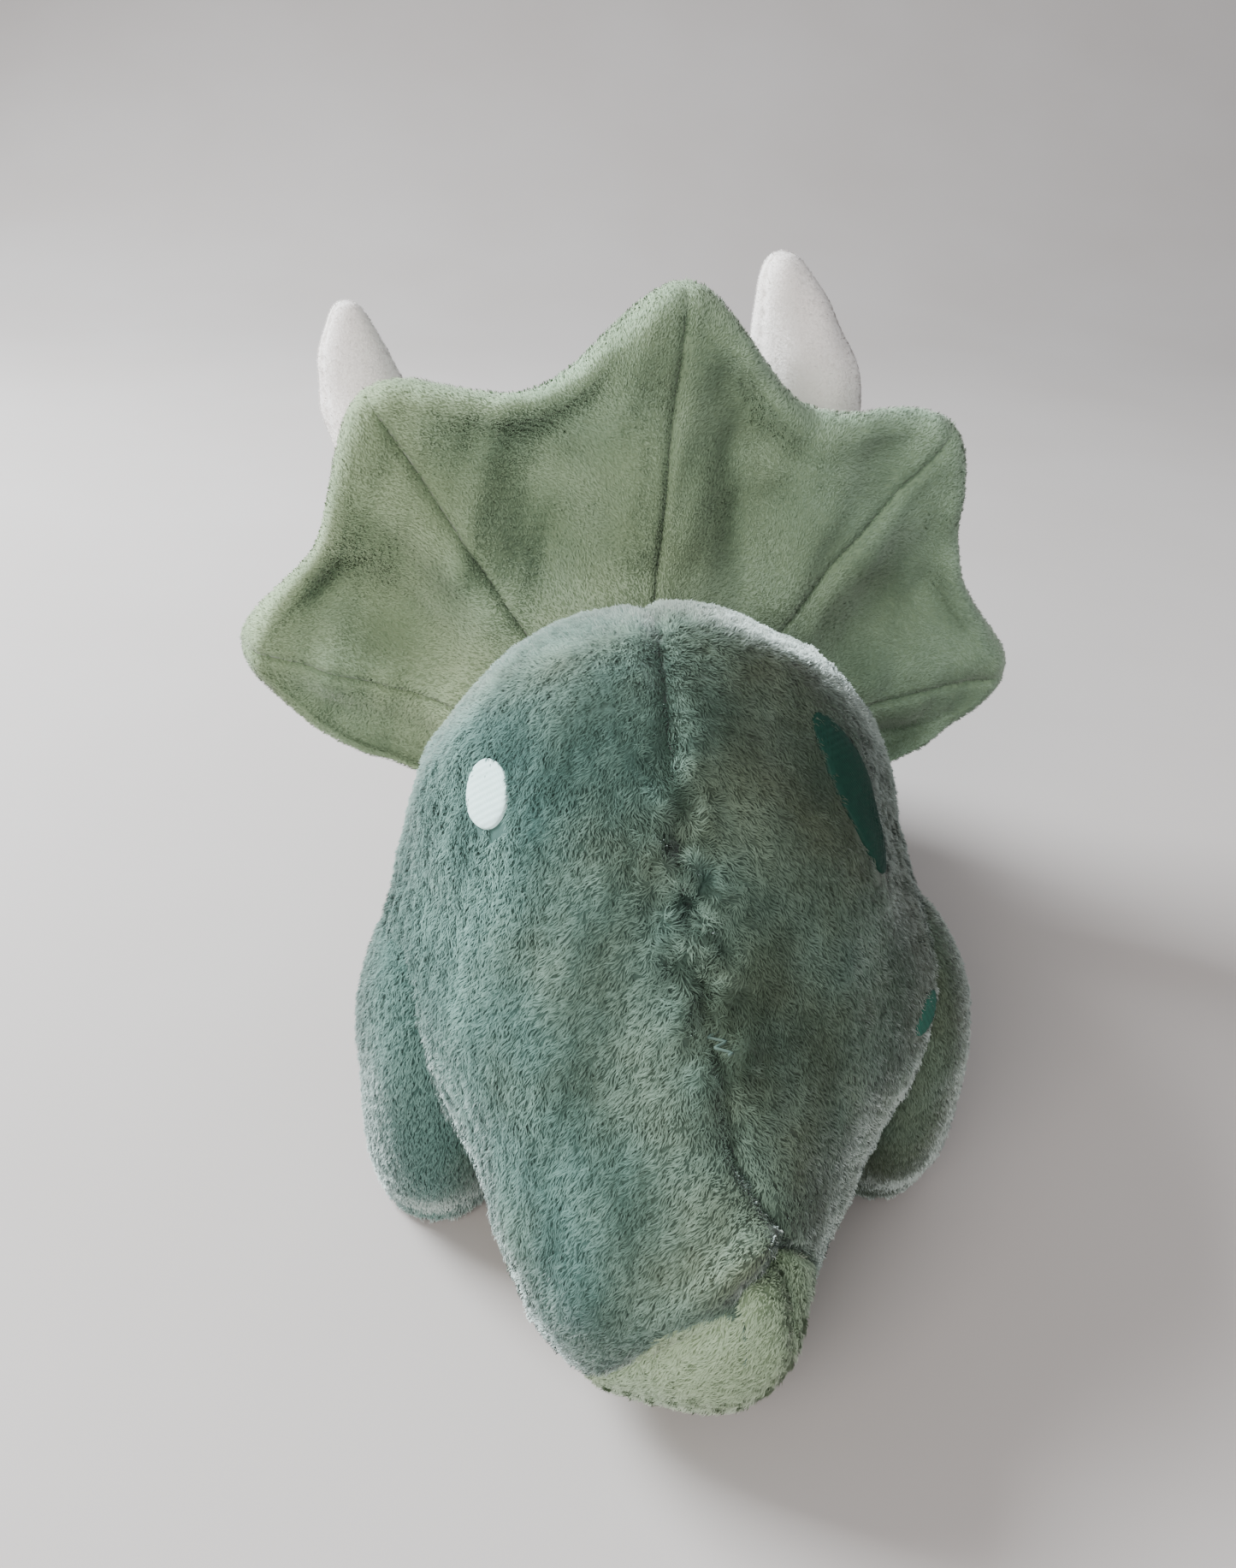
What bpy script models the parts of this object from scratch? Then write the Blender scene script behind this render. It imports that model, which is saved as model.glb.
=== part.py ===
"""Stuffed horned dinosaur: sewn skins, fillings, a fan-shaped frill, horns, tail and four legs.

It faces -Y, its left side is +X, and it stands on z = 0 with its origin under its middle.
Sizes are in millimetres and become metres as each mesh is made.
"""

import math

import bmesh
import bpy
import numpy as np
from mathutils import Matrix, Vector

MM = 0.001

# Fabric and clearances
SKIN = 1.6
FRILL_CLOTH = 1.4
GAP = 0.3
JOINT_GAP = 1.5
BIG = 400.0

# Joint centres
NECK = (0.0, -60.0, 72.0)
TAIL_ROOT = (2.0, 54.0, 56.0)
FRILL_HINGE = (0.0, -62.0, 100.0)
HIND_HIP = (56.5, 26.0, 44.0)
FRONT_HIP = (46.0, -40.0, 36.0)

# Half sizes of the rounded ends that turn in their sockets
NECK_BALL = (48.0, 38.0, 38.0)
TAIL_BALL = (40.0, 40.0, 42.0)
HIND_BALL = 31.0
FRONT_BALL = 22.0
HORN_BALL = 18.0

# The body sits a little to its left of the neck's seam, and its box is centred on the origin
BODY_SHIFT = 2.5
TO_ORIGIN = Vector((0.3, 23.1, 0.0))

# The head leans to its left, and the frill a little to its right
HEAD_ROLL = math.radians(7.0)
FRILL_ROLL = math.radians(-2.0)
FRILL_PIVOT = (0.0, -60.0, 80.0)

# Seam heights
BELLY_SEAM_Z = 44.0
CHIN_SEAM_Z = 60.0
TAIL_SEAM_Z = 36.0
SOLE = 1.6

# Frill outline, as (x, z) of the left half from its lower end to the middle
FRILL_BASE = ((57.0, 66.0), (59.0, 85.0), (38.0, 107.0), (0.0, 118.0))
FRILL_TIPS = ((64.0, 58.0), (114.0, 89.0), (76.0, 163.0), (0.0, 195.0))
FRILL_VALLEYS = ((94.0, 65.0), (91.0, 120.0), (35.0, 168.0))
FRILL_Y = -60.0
FRILL_SWEEP = 22.0
FRILL_REACH = 114.0
FRILL_CUP = 3.0
FRILL_CORE = 2.8

# Colours, as linear red, green and blue
DARK_PLUSH = (0.10, 0.16, 0.13)
LIGHT_PLUSH = (0.30, 0.42, 0.27)
CREAM_PLUSH = (0.80, 0.72, 0.68)
FILLING = (0.85, 0.85, 0.83)
MINT_THREAD = (0.62, 0.80, 0.70)
DEEP_THREAD = (0.02, 0.14, 0.09)
MID_THREAD = (0.06, 0.24, 0.16)
BLACK_PLASTIC = (0.01, 0.01, 0.01)
WHITE_PLASTIC = (0.75, 0.75, 0.73)


def clear_scene():
    for obj in list(bpy.data.objects):
        bpy.data.objects.remove(obj, do_unlink=True)


def new_collection(name):
    made = bpy.data.collections.new(name)
    bpy.context.scene.collection.children.link(made)
    return made


def material(name, colour, roughness):
    found = bpy.data.materials.get(name)
    if found is None:
        found = bpy.data.materials.new(name)
        found.use_nodes = True
        shader = found.node_tree.nodes["Principled BSDF"]
        shader.inputs["Base Color"].default_value = (*colour, 1.0)
        shader.inputs["Roughness"].default_value = roughness
        shader.inputs["Metallic"].default_value = 0.0
    return found


def plush(name, colour):
    return material(name, colour, 0.95)


clear_scene()
TOY = new_collection("stuffed_dinosaur")
CUTTERS = new_collection("cutters")


def place(mesh, name, origin, roll, collection):
    """Puts a mesh whose points are in the toy's frame on an object with its origin on a joint."""
    mesh.transform(Matrix.Translation(-Vector(origin) * MM))
    obj = bpy.data.objects.new(name, mesh)
    obj.location = (Vector(origin) + TO_ORIGIN) * MM
    obj.rotation_euler = (0.0, roll, 0.0)
    collection.objects.link(obj)
    return obj


def face_outwards(bm):
    bm.normal_update()
    bmesh.ops.recalc_face_normals(bm, faces=bm.faces)


def mesh_from(bm, name):
    """Turns a bmesh in millimetres into a mesh in metres."""
    bmesh.ops.scale(bm, vec=(MM, MM, MM), verts=bm.verts)
    mesh = bpy.data.meshes.new(name)
    bm.to_mesh(mesh)
    bm.free()
    return mesh


def part(bm, name, finish, origin=(0.0, 0.0, 0.0), roll=0.0):
    obj = place(mesh_from(bm, name), name, origin, roll, TOY)
    obj.data.materials.append(finish)
    obj.data.shade_smooth()
    return obj


def cutter(bm, name, origin=(0.0, 0.0, 0.0), roll=0.0):
    face_outwards(bm)
    obj = place(mesh_from(bm, name), name, origin, roll, CUTTERS)
    obj.hide_render = True
    obj.display_type = "WIRE"
    return obj


def boolean(obj, operation, *tools, solver="EXACT"):
    for tool in tools:
        modifier = obj.modifiers.new(f"{operation.lower()} {tool.name}", "BOOLEAN")
        modifier.operation = operation
        modifier.solver = solver
        modifier.object = tool


def solidify(obj, thickness, offset):
    modifier = obj.modifiers.new("cloth thickness", "SOLIDIFY")
    modifier.thickness = thickness * MM
    modifier.offset = offset


def displace(obj, distance):
    modifier = obj.modifiers.new("along normals", "DISPLACE")
    modifier.strength = distance * MM
    modifier.mid_level = 0.0


# Soft forms: a sphere whose rings are moved to stations along a spine


def smooth_path(stations, t):
    """Points on the Catmull-Rom curve through the stations, at t from 0 to their last index."""
    p = np.asarray(stations, float)
    p = np.vstack([2 * p[0] - p[1], p, 2 * p[-1] - p[-2]])
    i = np.clip(np.floor(t).astype(int), 0, len(p) - 4)
    f = (t - i)[..., None]
    a, b, c, d = p[i], p[i + 1], p[i + 2], p[i + 3]
    return 0.5 * (2 * b + (c - a) * f + (2 * a - 5 * b + 4 * c - d) * f**2 + (3 * b - a - 3 * c + d) * f**3)


def surface_point(stations, up_axis, t, angle):
    """A station is (x, y, z, half width, half size up, half size down); the width lies along X."""
    s = smooth_path(stations, np.asarray(t, float))
    side = np.cos(angle)
    rise = np.sin(angle)
    across = np.maximum(s[..., 3], 0.0) * side
    along = np.where(rise > 0, np.maximum(s[..., 4], 0.0), np.maximum(s[..., 5], 0.0)) * rise
    point = s[..., :3].copy()
    point[..., 0] += across
    point[..., up_axis] += along
    return point


def soft_form(stations, up_axis, around):
    """A UV sphere with its pole-to-pole rings moved to the stations. up_axis is 2 for Z, 1 for Y."""
    gaps = len(stations) - 1
    rings_per_gap = 2 if stations is HEAD else 1
    bm = bmesh.new()
    bmesh.ops.create_uvsphere(bm, u_segments=around, v_segments=gaps * rings_per_gap, radius=1.0)
    sphere = np.array([v.co for v in bm.verts])
    t = np.arccos(np.clip(sphere[:, 2], -1, 1)) / math.pi * gaps
    angle = np.arctan2(sphere[:, 1], sphere[:, 0])
    moved = surface_point(stations, up_axis, t, angle)
    for vertex, co in zip(bm.verts, moved):
        vertex.co = co
    face_outwards(bm)
    return bm


def ball_stations(centre, ball, axis_sign):
    """Stations of half an ellipsoid, from its pole to just before its widest ring, along Y."""
    made = []
    for degrees in (0.0, 14.0, 32.0, 52.0, 72.0):
        a = math.radians(degrees)
        y = centre[1] + axis_sign * ball[1] * math.cos(a)
        made.append((centre[0], y, centre[2], ball[0] * math.sin(a), ball[2] * math.sin(a), ball[2] * math.sin(a)))
    return made


def section(x, y, low, high, half_width):
    """A station across Y whose lowest and highest points are given."""
    middle = 0.5 * (low + high)
    return (x, y, middle, half_width, high - middle, middle - low)


TORSO = ball_stations(NECK, NECK_BALL, -1) + [
    section(0.0, -60.0, 34.0, 110.0, 48.0),
    section(0.5, -45.0, 30.0, 110.5, 50.0),
    section(1.5, -27.0, 19.0, 125.0, 56.0),
    section(3.0, -8.0, 10.0, 135.0, 61.0),
    section(3.5, 12.0, 7.0, 138.0, 63.0),
    section(3.0, 32.0, 7.0, 130.0, 62.0),
    section(2.5, 50.0, 11.0, 113.0, 56.0),
    section(2.0, 64.0, 24.0, 92.0, 42.0),
    (2.0, 74.0, 58.0, 0.0, 0.0, 0.0),
]

TAIL = ball_stations(TAIL_ROOT, TAIL_BALL, -1) + [
    section(2.0, 54.0, 14.0, 98.0, 40.0),
    section(2.5, 62.0, 11.5, 93.5, 38.5),
    section(5.5, 72.0, 8.5, 86.0, 37.0),
    section(8.0, 83.0, 6.5, 75.0, 34.0),
    section(8.5, 94.0, 7.0, 65.0, 28.5),
    section(5.0, 104.0, 11.0, 56.0, 21.5),
    section(0.0, 111.0, 20.0, 51.0, 13.0),
    (-3.0, 115.0, 38.0, 0.0, 0.0, 0.0),
]

HEAD = [
    (0.0, -66.0, 74.0, 0.0, 0.0, 0.0),
    section(0.0, -69.0, 38.0, 108.0, 38.0),
    section(0.0, -74.0, 32.0, 119.0, 51.0),
    section(0.0, -86.0, 25.0, 129.0, 59.0),
    section(0.0, -103.0, 20.0, 134.0, 62.0),
    section(0.0, -120.0, 19.0, 128.0, 59.0),
    section(0.0, -135.0, 22.0, 112.0, 51.0),
    section(0.0, -148.0, 28.0, 95.0, 40.0),
    section(0.0, -157.0, 37.0, 80.0, 26.0),
    (0.0, -161.0, 58.0, 0.0, 0.0, 0.0),
]


def leg_stations(hip, foot_x, foot_y, ball, foot_width, foot_length):
    """Stations down a leg: round at the hip, then a straight foot with a flat end on z = 0."""
    x, y, z = hip
    half_width = LEG_HALF_WIDTH
    made = []
    for degrees in (0.0, 30.0, 60.0, 90.0):
        a = math.radians(degrees)
        size = ball * math.sin(a)
        made.append((x, y, z + ball * math.cos(a), half_width * math.sin(a), size, size))
    made.append((0.5 * (x + foot_x), 0.4 * y + 0.6 * foot_y, 0.5 * z, half_width, 0.95 * ball, 0.95 * ball))
    made.append((foot_x, foot_y, 0.18 * z, foot_width, foot_length, foot_length))
    made.append((foot_x, foot_y, 0.0, 0.86 * foot_width, 0.88 * foot_length, 0.88 * foot_length))
    made.append((foot_x, foot_y, 0.0, 0.0, 0.0, 0.0))
    return made


def on_side(point, sign):
    """A point of the left half, or its mirror image, about the middle of the body."""
    return (sign * point[0] + BODY_SHIFT, *point[1:])


LEG_HALF_WIDTH = 15.0
HIND_FOOT = (55.0, 31.0, 15.0, 20.0)
FRONT_FOOT = (46.0, -43.0, 15.0, 18.0)
LEGS = {
    "hind": (HIND_HIP, HIND_BALL, HIND_FOOT),
    "front": (FRONT_HIP, FRONT_BALL, FRONT_FOOT),
}

# A horn's spine, as (x, z, half width) from inside the head to its tip
HORNS = {
    "left": ((49.0, 104.0, 0.0), (51.0, 109.0, 13.0), (56.0, 120.0, 18.5), (66.0, 136.0, 17.5),
             (75.0, 153.0, 14.0), (78.0, 168.0, 9.5), (77.5, 177.0, 5.5), (77.0, 181.5, 0.0)),
    "right": ((-40.0, 114.0, 0.0), (-41.0, 119.0, 13.0), (-43.5, 131.0, 18.5), (-47.0, 148.0, 17.5),
              (-48.5, 166.0, 14.5), (-45.5, 181.0, 10.0), (-42.5, 191.0, 6.0), (-40.5, 196.0, 0.0)),
}
HORN_Y = -103.0
HORN_HINGE = {"left": (54.0, -103.0, 118.0), "right": (-42.5, -103.0, 128.0)}


# Cutters


def box_cutter(name, low, high, origin=(0.0, 0.0, 0.0), roll=0.0):
    bm = bmesh.new()
    bmesh.ops.create_cube(bm, size=1.0)
    size = [h - l for l, h in zip(low, high)]
    middle = [0.5 * (l + h) for l, h in zip(low, high)]
    bmesh.ops.scale(bm, vec=size, verts=bm.verts)
    bmesh.ops.translate(bm, vec=middle, verts=bm.verts)
    return cutter(bm, name, origin, roll)


def ball_cutter(name, centre, half_sizes, extra=JOINT_GAP):
    bm = bmesh.new()
    bmesh.ops.create_uvsphere(bm, u_segments=24, v_segments=16, radius=1.0)
    bmesh.ops.scale(bm, vec=[h + extra for h in half_sizes], verts=bm.verts)
    bmesh.ops.translate(bm, vec=centre, verts=bm.verts)
    return cutter(bm, name)


def hip_cutter(name, hip, ball, sign, inner):
    """The leg's pocket: an arch about the hip's axis, open below for the leg and foot."""
    near_x = sign * inner + BODY_SHIFT
    arch = [math.radians(a) for a in range(-12, 193, 12)]
    outline = [(hip[1] + ball * math.cos(a), hip[2] + ball * math.sin(a)) for a in arch]
    outline += [(hip[1] - 1.05 * ball, -20.0), (hip[1] + 1.05 * ball, -20.0)]
    bm = bmesh.new()
    near = bm.faces.new([bm.verts.new((near_x, y, z)) for y, z in outline])
    far = bmesh.ops.extrude_face_region(bm, geom=[near])
    moved = [v for v in far["geom"] if isinstance(v, bmesh.types.BMVert)]
    bmesh.ops.translate(bm, vec=(sign * 80.0, 0.0, 0.0), verts=moved)
    return cutter(bm, name)


def form_cutter(name, stations, around, distance, origin=(0.0, 0.0, 0.0), roll=0.0):
    """The whole soft form, grown by a distance, for trimming what is sewn on it."""
    obj = cutter(soft_form(stations, 2, around), name, origin, roll)
    displace(obj, distance)
    return obj


# Torso

# The exact solver leaves open edges where the front pocket crosses the torso
POCKET_SOLVER = "MANIFOLD"

LEFT_OF_SEAM = ((0.5 * GAP, -BIG, -BIG), (BIG, BIG, BIG))
RIGHT_OF_SEAM = ((-BIG, -BIG, -BIG), (-0.5 * GAP, BIG, BIG))


def above(z):
    return ((-BIG, -BIG, z + 0.5 * GAP), (BIG, BIG, BIG))


def below(z):
    return ((-BIG, -BIG, -BIG), (BIG, BIG, z - 0.5 * GAP))


def overlap_of(a, b):
    low = tuple(max(p, q) for p, q in zip(a[0], b[0]))
    high = tuple(min(p, q) for p, q in zip(a[1], b[1]))
    return low, high


TORSO_AROUND = 24
dark = plush("dark_plush", DARK_PLUSH)
light = plush("light_plush", LIGHT_PLUSH)
cream = plush("cream_plush", CREAM_PLUSH)
fibre = plush("polyester_filling", FILLING)

tail_cuts = [
    ball_cutter("tail_socket", TAIL_ROOT, TAIL_BALL),
    box_cutter("behind_tail_root", (-BIG, TAIL_ROOT[1] + GAP, -BIG), (BIG, BIG, BIG)),
]
hip_cuts = {
    side: [
        hip_cutter(f"hind_pocket_{side}", HIND_HIP, HIND_BALL + JOINT_GAP, sign, HIND_HIP[0] - LEG_HALF_WIDTH - 1.0),
        hip_cutter(f"front_pocket_{side}", FRONT_HIP, FRONT_BALL + JOINT_GAP, sign, FRONT_HIP[0] - LEG_HALF_WIDTH - 1.7),
    ]
    for side, sign in (("left", 1.0), ("right", -1.0))
}
torso_cuts = [*tail_cuts, *hip_cuts["left"], *hip_cuts["right"]]


def skin_panel(name, stations, around, finish, region, cuts, origin=(0.0, 0.0, 0.0), roll=0.0):
    """The outer cloth of a soft form, kept inside a box-shaped region."""
    obj = part(soft_form(stations, 2, around), name, finish, origin, roll)
    solidify(obj, SKIN, -1.0)
    boolean(obj, "INTERSECT", box_cutter(f"{name}_region", *region, origin, roll))
    boolean(obj, "DIFFERENCE", *cuts, solver=POCKET_SOLVER)
    return obj


def filling(name, stations, around, cuts, origin=(0.0, 0.0, 0.0), roll=0.0, up_axis=2):
    obj = part(soft_form(stations, up_axis, around), name, fibre, origin, roll)
    displace(obj, -SKIN - 2 * GAP)
    boolean(obj, "DIFFERENCE", *cuts, solver=POCKET_SOLVER)
    return obj


skin_panel("back_panel_left", TORSO, TORSO_AROUND, dark, overlap_of(LEFT_OF_SEAM, above(BELLY_SEAM_Z)),
           [*tail_cuts, *hip_cuts["left"]])
skin_panel("back_panel_right", TORSO, TORSO_AROUND, dark, overlap_of(RIGHT_OF_SEAM, above(BELLY_SEAM_Z)),
           [*tail_cuts, *hip_cuts["right"]])
skin_panel("belly_panel", TORSO, TORSO_AROUND, light, below(BELLY_SEAM_Z), torso_cuts)
filling("torso_filling", TORSO, TORSO_AROUND, torso_cuts)


def embroidered_spot(name, colour, t, degrees, half_length, half_width, turn):
    """A satin-stitched ellipse that lies on the back cloth."""
    angle = math.radians(degrees)
    spot = surface_point(TORSO, 2, np.array([t]), np.array([angle]))[0]
    ahead = surface_point(TORSO, 2, np.array([t + 0.05]), np.array([angle]))[0] - spot
    around = surface_point(TORSO, 2, np.array([t]), np.array([angle + 0.02]))[0] - spot
    normal = Vector(np.cross(around, ahead)).normalized()
    if normal.dot(Vector(spot) - Vector((0.0, spot[1], 70.0))) < 0:
        normal = -normal
    bm = bmesh.new()
    bmesh.ops.create_cone(bm, cap_ends=True, segments=28, radius1=1.0, radius2=1.0, depth=24.0)
    bmesh.ops.scale(bm, vec=(half_width, half_length, 1.0), verts=bm.verts)
    frame_x = Vector(ahead).normalized().cross(normal)
    frame_y = normal.cross(frame_x).normalized()
    c, s = math.cos(turn), math.sin(turn)
    for vertex in bm.verts:
        x, y, z = vertex.co
        vertex.co = Vector(spot) + frame_x * (c * x - s * y) + frame_y * (s * x + c * y) + normal * z
    outline = cutter(bm, f"{name}_outline")
    obj = part(soft_form(TORSO, 2, TORSO_AROUND), name, material(name, colour, 0.6))
    displace(obj, GAP)
    solidify(obj, 0.7, 1.0)
    boolean(obj, "INTERSECT", outline)
    return obj


embroidered_spot("spot_left", MINT_THREAD, 10.07, 47.5, 7.8, 5.8, 0.0)
embroidered_spot("spot_right_front", DEEP_THREAD, 10.2, 126.0, 17.0, 7.5, 0.6)
embroidered_spot("spot_right_rear", MID_THREAD, 10.85, 158.0, 5.0, 3.0, 0.0)


def closure_stitches():
    """The hand-sewn thread that closes the filling hole along the middle of the back."""
    steps = 26
    t = np.linspace(9.3, 11.1, steps)
    lean = np.where(np.arange(steps) % 2 == 0, 1.0, -1.0) * math.radians(1.1)
    points = surface_point(TORSO, 2, t, math.radians(90.0) + lean)
    ahead = surface_point(TORSO, 2, t + 0.05, math.radians(90.0) + lean) - points
    normal = np.cross(np.array([1.0, 0.0, 0.0]), ahead)
    normal /= np.linalg.norm(normal, axis=1, keepdims=True)
    normal *= np.sign(normal[:, 2:3])
    points = (points + normal * 1.1 + np.array(TO_ORIGIN)) * MM
    curve = bpy.data.curves.new("closure_stitches", "CURVE")
    curve.dimensions = "3D"
    curve.bevel_depth = 0.4 * MM
    curve.bevel_resolution = 1
    curve.use_fill_caps = True
    spline = curve.splines.new("POLY")
    spline.points.add(steps - 1)
    for target, co in zip(spline.points, points):
        target.co = (*co, 1.0)
    obj = bpy.data.objects.new("closure_stitches", curve)
    obj.data.materials.append(material("closing_thread", MINT_THREAD, 0.6))
    TOY.objects.link(obj)


closure_stitches()

# Tail

TAIL_AROUND = 20
TAIL_LEFT = ((TAIL_ROOT[0] + 0.5 * GAP, -BIG, -BIG), (BIG, BIG, BIG))
TAIL_RIGHT = ((-BIG, -BIG, -BIG), (TAIL_ROOT[0] - 0.5 * GAP, BIG, BIG))
skin_panel("tail_panel_left", TAIL, TAIL_AROUND, dark, overlap_of(TAIL_LEFT, above(TAIL_SEAM_Z)), [], TAIL_ROOT)
skin_panel("tail_panel_right", TAIL, TAIL_AROUND, dark, overlap_of(TAIL_RIGHT, above(TAIL_SEAM_Z)), [], TAIL_ROOT)
skin_panel("tail_under_panel", TAIL, TAIL_AROUND, light, below(TAIL_SEAM_Z), [], TAIL_ROOT)
filling("tail_filling", TAIL, TAIL_AROUND, [], TAIL_ROOT)

# Legs

LEG_AROUND = 16


def leg(where, side, sign):
    hip, ball, (foot_x, foot_y, foot_width, foot_length) = LEGS[where]
    stations = [on_side(s, sign) for s in leg_stations(hip, foot_x, foot_y, ball, foot_width, foot_length)]
    hip = on_side(hip, sign)
    name = f"{where}_leg_{side}"
    skin = part(soft_form(stations, 1, LEG_AROUND), f"{name}_skin", dark, hip)
    solidify(skin, SKIN, -1.0)
    region = box_cutter(f"{name}_region", *above(SOLE + 0.5 * GAP), hip)
    boolean(skin, "INTERSECT", region)
    stuffing = filling(f"{name}_filling", stations, LEG_AROUND, [], hip, 0.0, 1)
    boolean(stuffing, "INTERSECT", region)
    bm = bmesh.new()
    bmesh.ops.create_cone(bm, cap_ends=True, segments=28, radius1=1.0, radius2=1.0, depth=SOLE)
    bmesh.ops.scale(bm, vec=(0.86 * foot_width, 0.88 * foot_length, 1.0), verts=bm.verts)
    bmesh.ops.translate(bm, vec=on_side((foot_x, foot_y, 0.5 * SOLE), sign), verts=bm.verts)
    part(bm, f"{name}_sole", light, hip)


for where in LEGS:
    leg(where, "left", 1.0)
    leg(where, "right", -1.0)

# Head

HEAD_AROUND = 24


def head_point(t, degrees):
    """A point of the upright head's surface with its outward normal."""
    angle = math.radians(degrees)
    here = surface_point(HEAD, 2, np.array([t]), np.array([angle]))[0]
    ahead = surface_point(HEAD, 2, np.array([t + 0.05]), np.array([angle]))[0] - here
    around = surface_point(HEAD, 2, np.array([t]), np.array([angle + 0.02]))[0] - here
    normal = Vector(np.cross(ahead, around)).normalized()
    if normal.dot(Vector(here) - Vector((0.0, -105.0, 76.0))) < 0:
        normal = -normal
    return Vector(here), normal


def turned(profile, name, finish, at, normal):
    """A profile of (radius, height) points turned about the outward normal at a point of the head."""
    bm = bmesh.new()
    rows = [bm.verts.new((r, 0.0, h)) for r, h in profile]
    for a, b in zip(rows, rows[1:]):
        bm.edges.new((a, b))
    if profile[0][0] > 0:
        bm.edges.new((rows[-1], rows[0]))
    bmesh.ops.spin(
        bm, geom=bm.verts[:] + bm.edges[:], cent=(0, 0, 0), axis=(0, 0, 1), angle=2 * math.pi, steps=16, use_merge=True
    )
    bmesh.ops.remove_doubles(bm, verts=bm.verts, dist=0.001)
    turn = normal.to_track_quat("Z", "Y").to_matrix()
    for vertex in bm.verts:
        vertex.co = turn @ vertex.co + at
    face_outwards(bm)
    return part(bm, name, finish, NECK, HEAD_ROLL)


def peg_cutter(name, at, normal, radius, top, bottom):
    bm = bmesh.new()
    bmesh.ops.create_cone(bm, cap_ends=True, segments=16, radius1=radius, radius2=radius, depth=top - bottom)
    turn = normal.to_track_quat("Z", "Y").to_matrix()
    for vertex in bm.verts:
        vertex.co = turn @ (vertex.co + Vector((0.0, 0.0, 0.5 * (top + bottom)))) + at
    return cutter(bm, name, NECK, HEAD_ROLL)


neck_socket = ball_cutter("neck_socket", NECK, NECK_BALL)
horn_sockets = [ball_cutter(f"horn_socket_{side}", HORN_HINGE[side], (HORN_BALL,) * 3) for side in HORNS]
eye_holes = []
eye_pockets = []
EYE_PROFILE = ((0.0, 4.6), (2.6, 4.2), (4.8, 3.0), (6.0, 1.6), (6.4, 0.6), (2.0, 0.6), (2.0, -9.0), (0.0, -9.0))
WASHER_PROFILE = ((2.5, -3.4), (6.0, -3.4), (6.0, -4.6), (2.5, -4.6))
for side, degrees in (("left", 12.0), ("right", 168.0)):
    at, normal = head_point(5.9, degrees)
    turned(EYE_PROFILE, f"eye_{side}", material("black_eye", BLACK_PLASTIC, 0.1), at, normal)
    turned(WASHER_PROFILE, f"eye_washer_{side}", material("eye_washer", WHITE_PLASTIC, 0.4), at, normal)
    eye_holes.append(peg_cutter(f"eye_hole_{side}", at, normal, 2.4, 6.0, -6.0))
    eye_pockets.append(peg_cutter(f"eye_pocket_{side}", at, normal, 7.5, 6.0, -10.0))

head_cuts = [neck_socket, *horn_sockets]
skin_panel("head_panel_left", HEAD, HEAD_AROUND, dark, overlap_of(LEFT_OF_SEAM, above(CHIN_SEAM_Z)),
           [*head_cuts, eye_holes[0]], NECK, HEAD_ROLL)
skin_panel("head_panel_right", HEAD, HEAD_AROUND, dark, overlap_of(RIGHT_OF_SEAM, above(CHIN_SEAM_Z)),
           [*head_cuts, eye_holes[1]], NECK, HEAD_ROLL)
skin_panel("chin_panel", HEAD, HEAD_AROUND, light, below(CHIN_SEAM_Z), head_cuts, NECK, HEAD_ROLL)
filling("head_filling", HEAD, HEAD_AROUND, [*head_cuts, *eye_pockets], NECK, HEAD_ROLL)

head_outside = form_cutter("head_outside", HEAD, HEAD_AROUND, GAP, NECK, HEAD_ROLL)


def thread_on_head(name, outline):
    obj = part(soft_form(HEAD, 2, HEAD_AROUND), name, material("face_thread", BLACK_PLASTIC, 0.6), NECK, HEAD_ROLL)
    displace(obj, GAP)
    solidify(obj, 0.7, 1.0)
    boolean(obj, "INTERSECT", outline)
    return obj


for side, sign in (("left", 1.0), ("right", -1.0)):
    bm = bmesh.new()
    bmesh.ops.create_cone(bm, cap_ends=True, segments=14, radius1=1.0, radius2=1.0, depth=30.0)
    for vertex in bm.verts:
        x, y, z = vertex.co
        vertex.co = (sign * 11.0 + 2.2 * x, -155.0 + z, 73.0 + 3.4 * y)
    thread_on_head(f"nostril_{side}", cutter(bm, f"nostril_{side}_outline", NECK, HEAD_ROLL))

bm = bmesh.new()
MOUTH_HALF_WIDTH = 30.0
bmesh.ops.create_cube(bm, size=1.0)
bmesh.ops.scale(bm, vec=(2 * MOUTH_HALF_WIDTH, 60.0, 1.4), verts=bm.verts)
bmesh.ops.translate(bm, vec=(0.0, -160.0, 52.0), verts=bm.verts)
thread_on_head("mouth_stitch", cutter(bm, "mouth_outline", NECK, HEAD_ROLL))

# Horns


def horn_stations(spine, y):
    return [(x, y, z, w, w * 0.92, w * 0.92) for x, z, w in spine]


def brow_horn(side):
    stations = horn_stations(HORNS[side], HORN_Y)
    hinge = HORN_HINGE[side]
    skin = part(soft_form(stations, 1, 12), f"horn_{side}_skin", cream, hinge)
    solidify(skin, SKIN, -1.0)
    below_root = box_cutter(f"horn_{side}_region", *above(hinge[2] - 9.0), hinge)
    boolean(skin, "INTERSECT", below_root)
    filling(f"horn_{side}_filling", stations, 12, [], hinge, 0.0, 1)


for side in HORNS:
    brow_horn(side)

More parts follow.
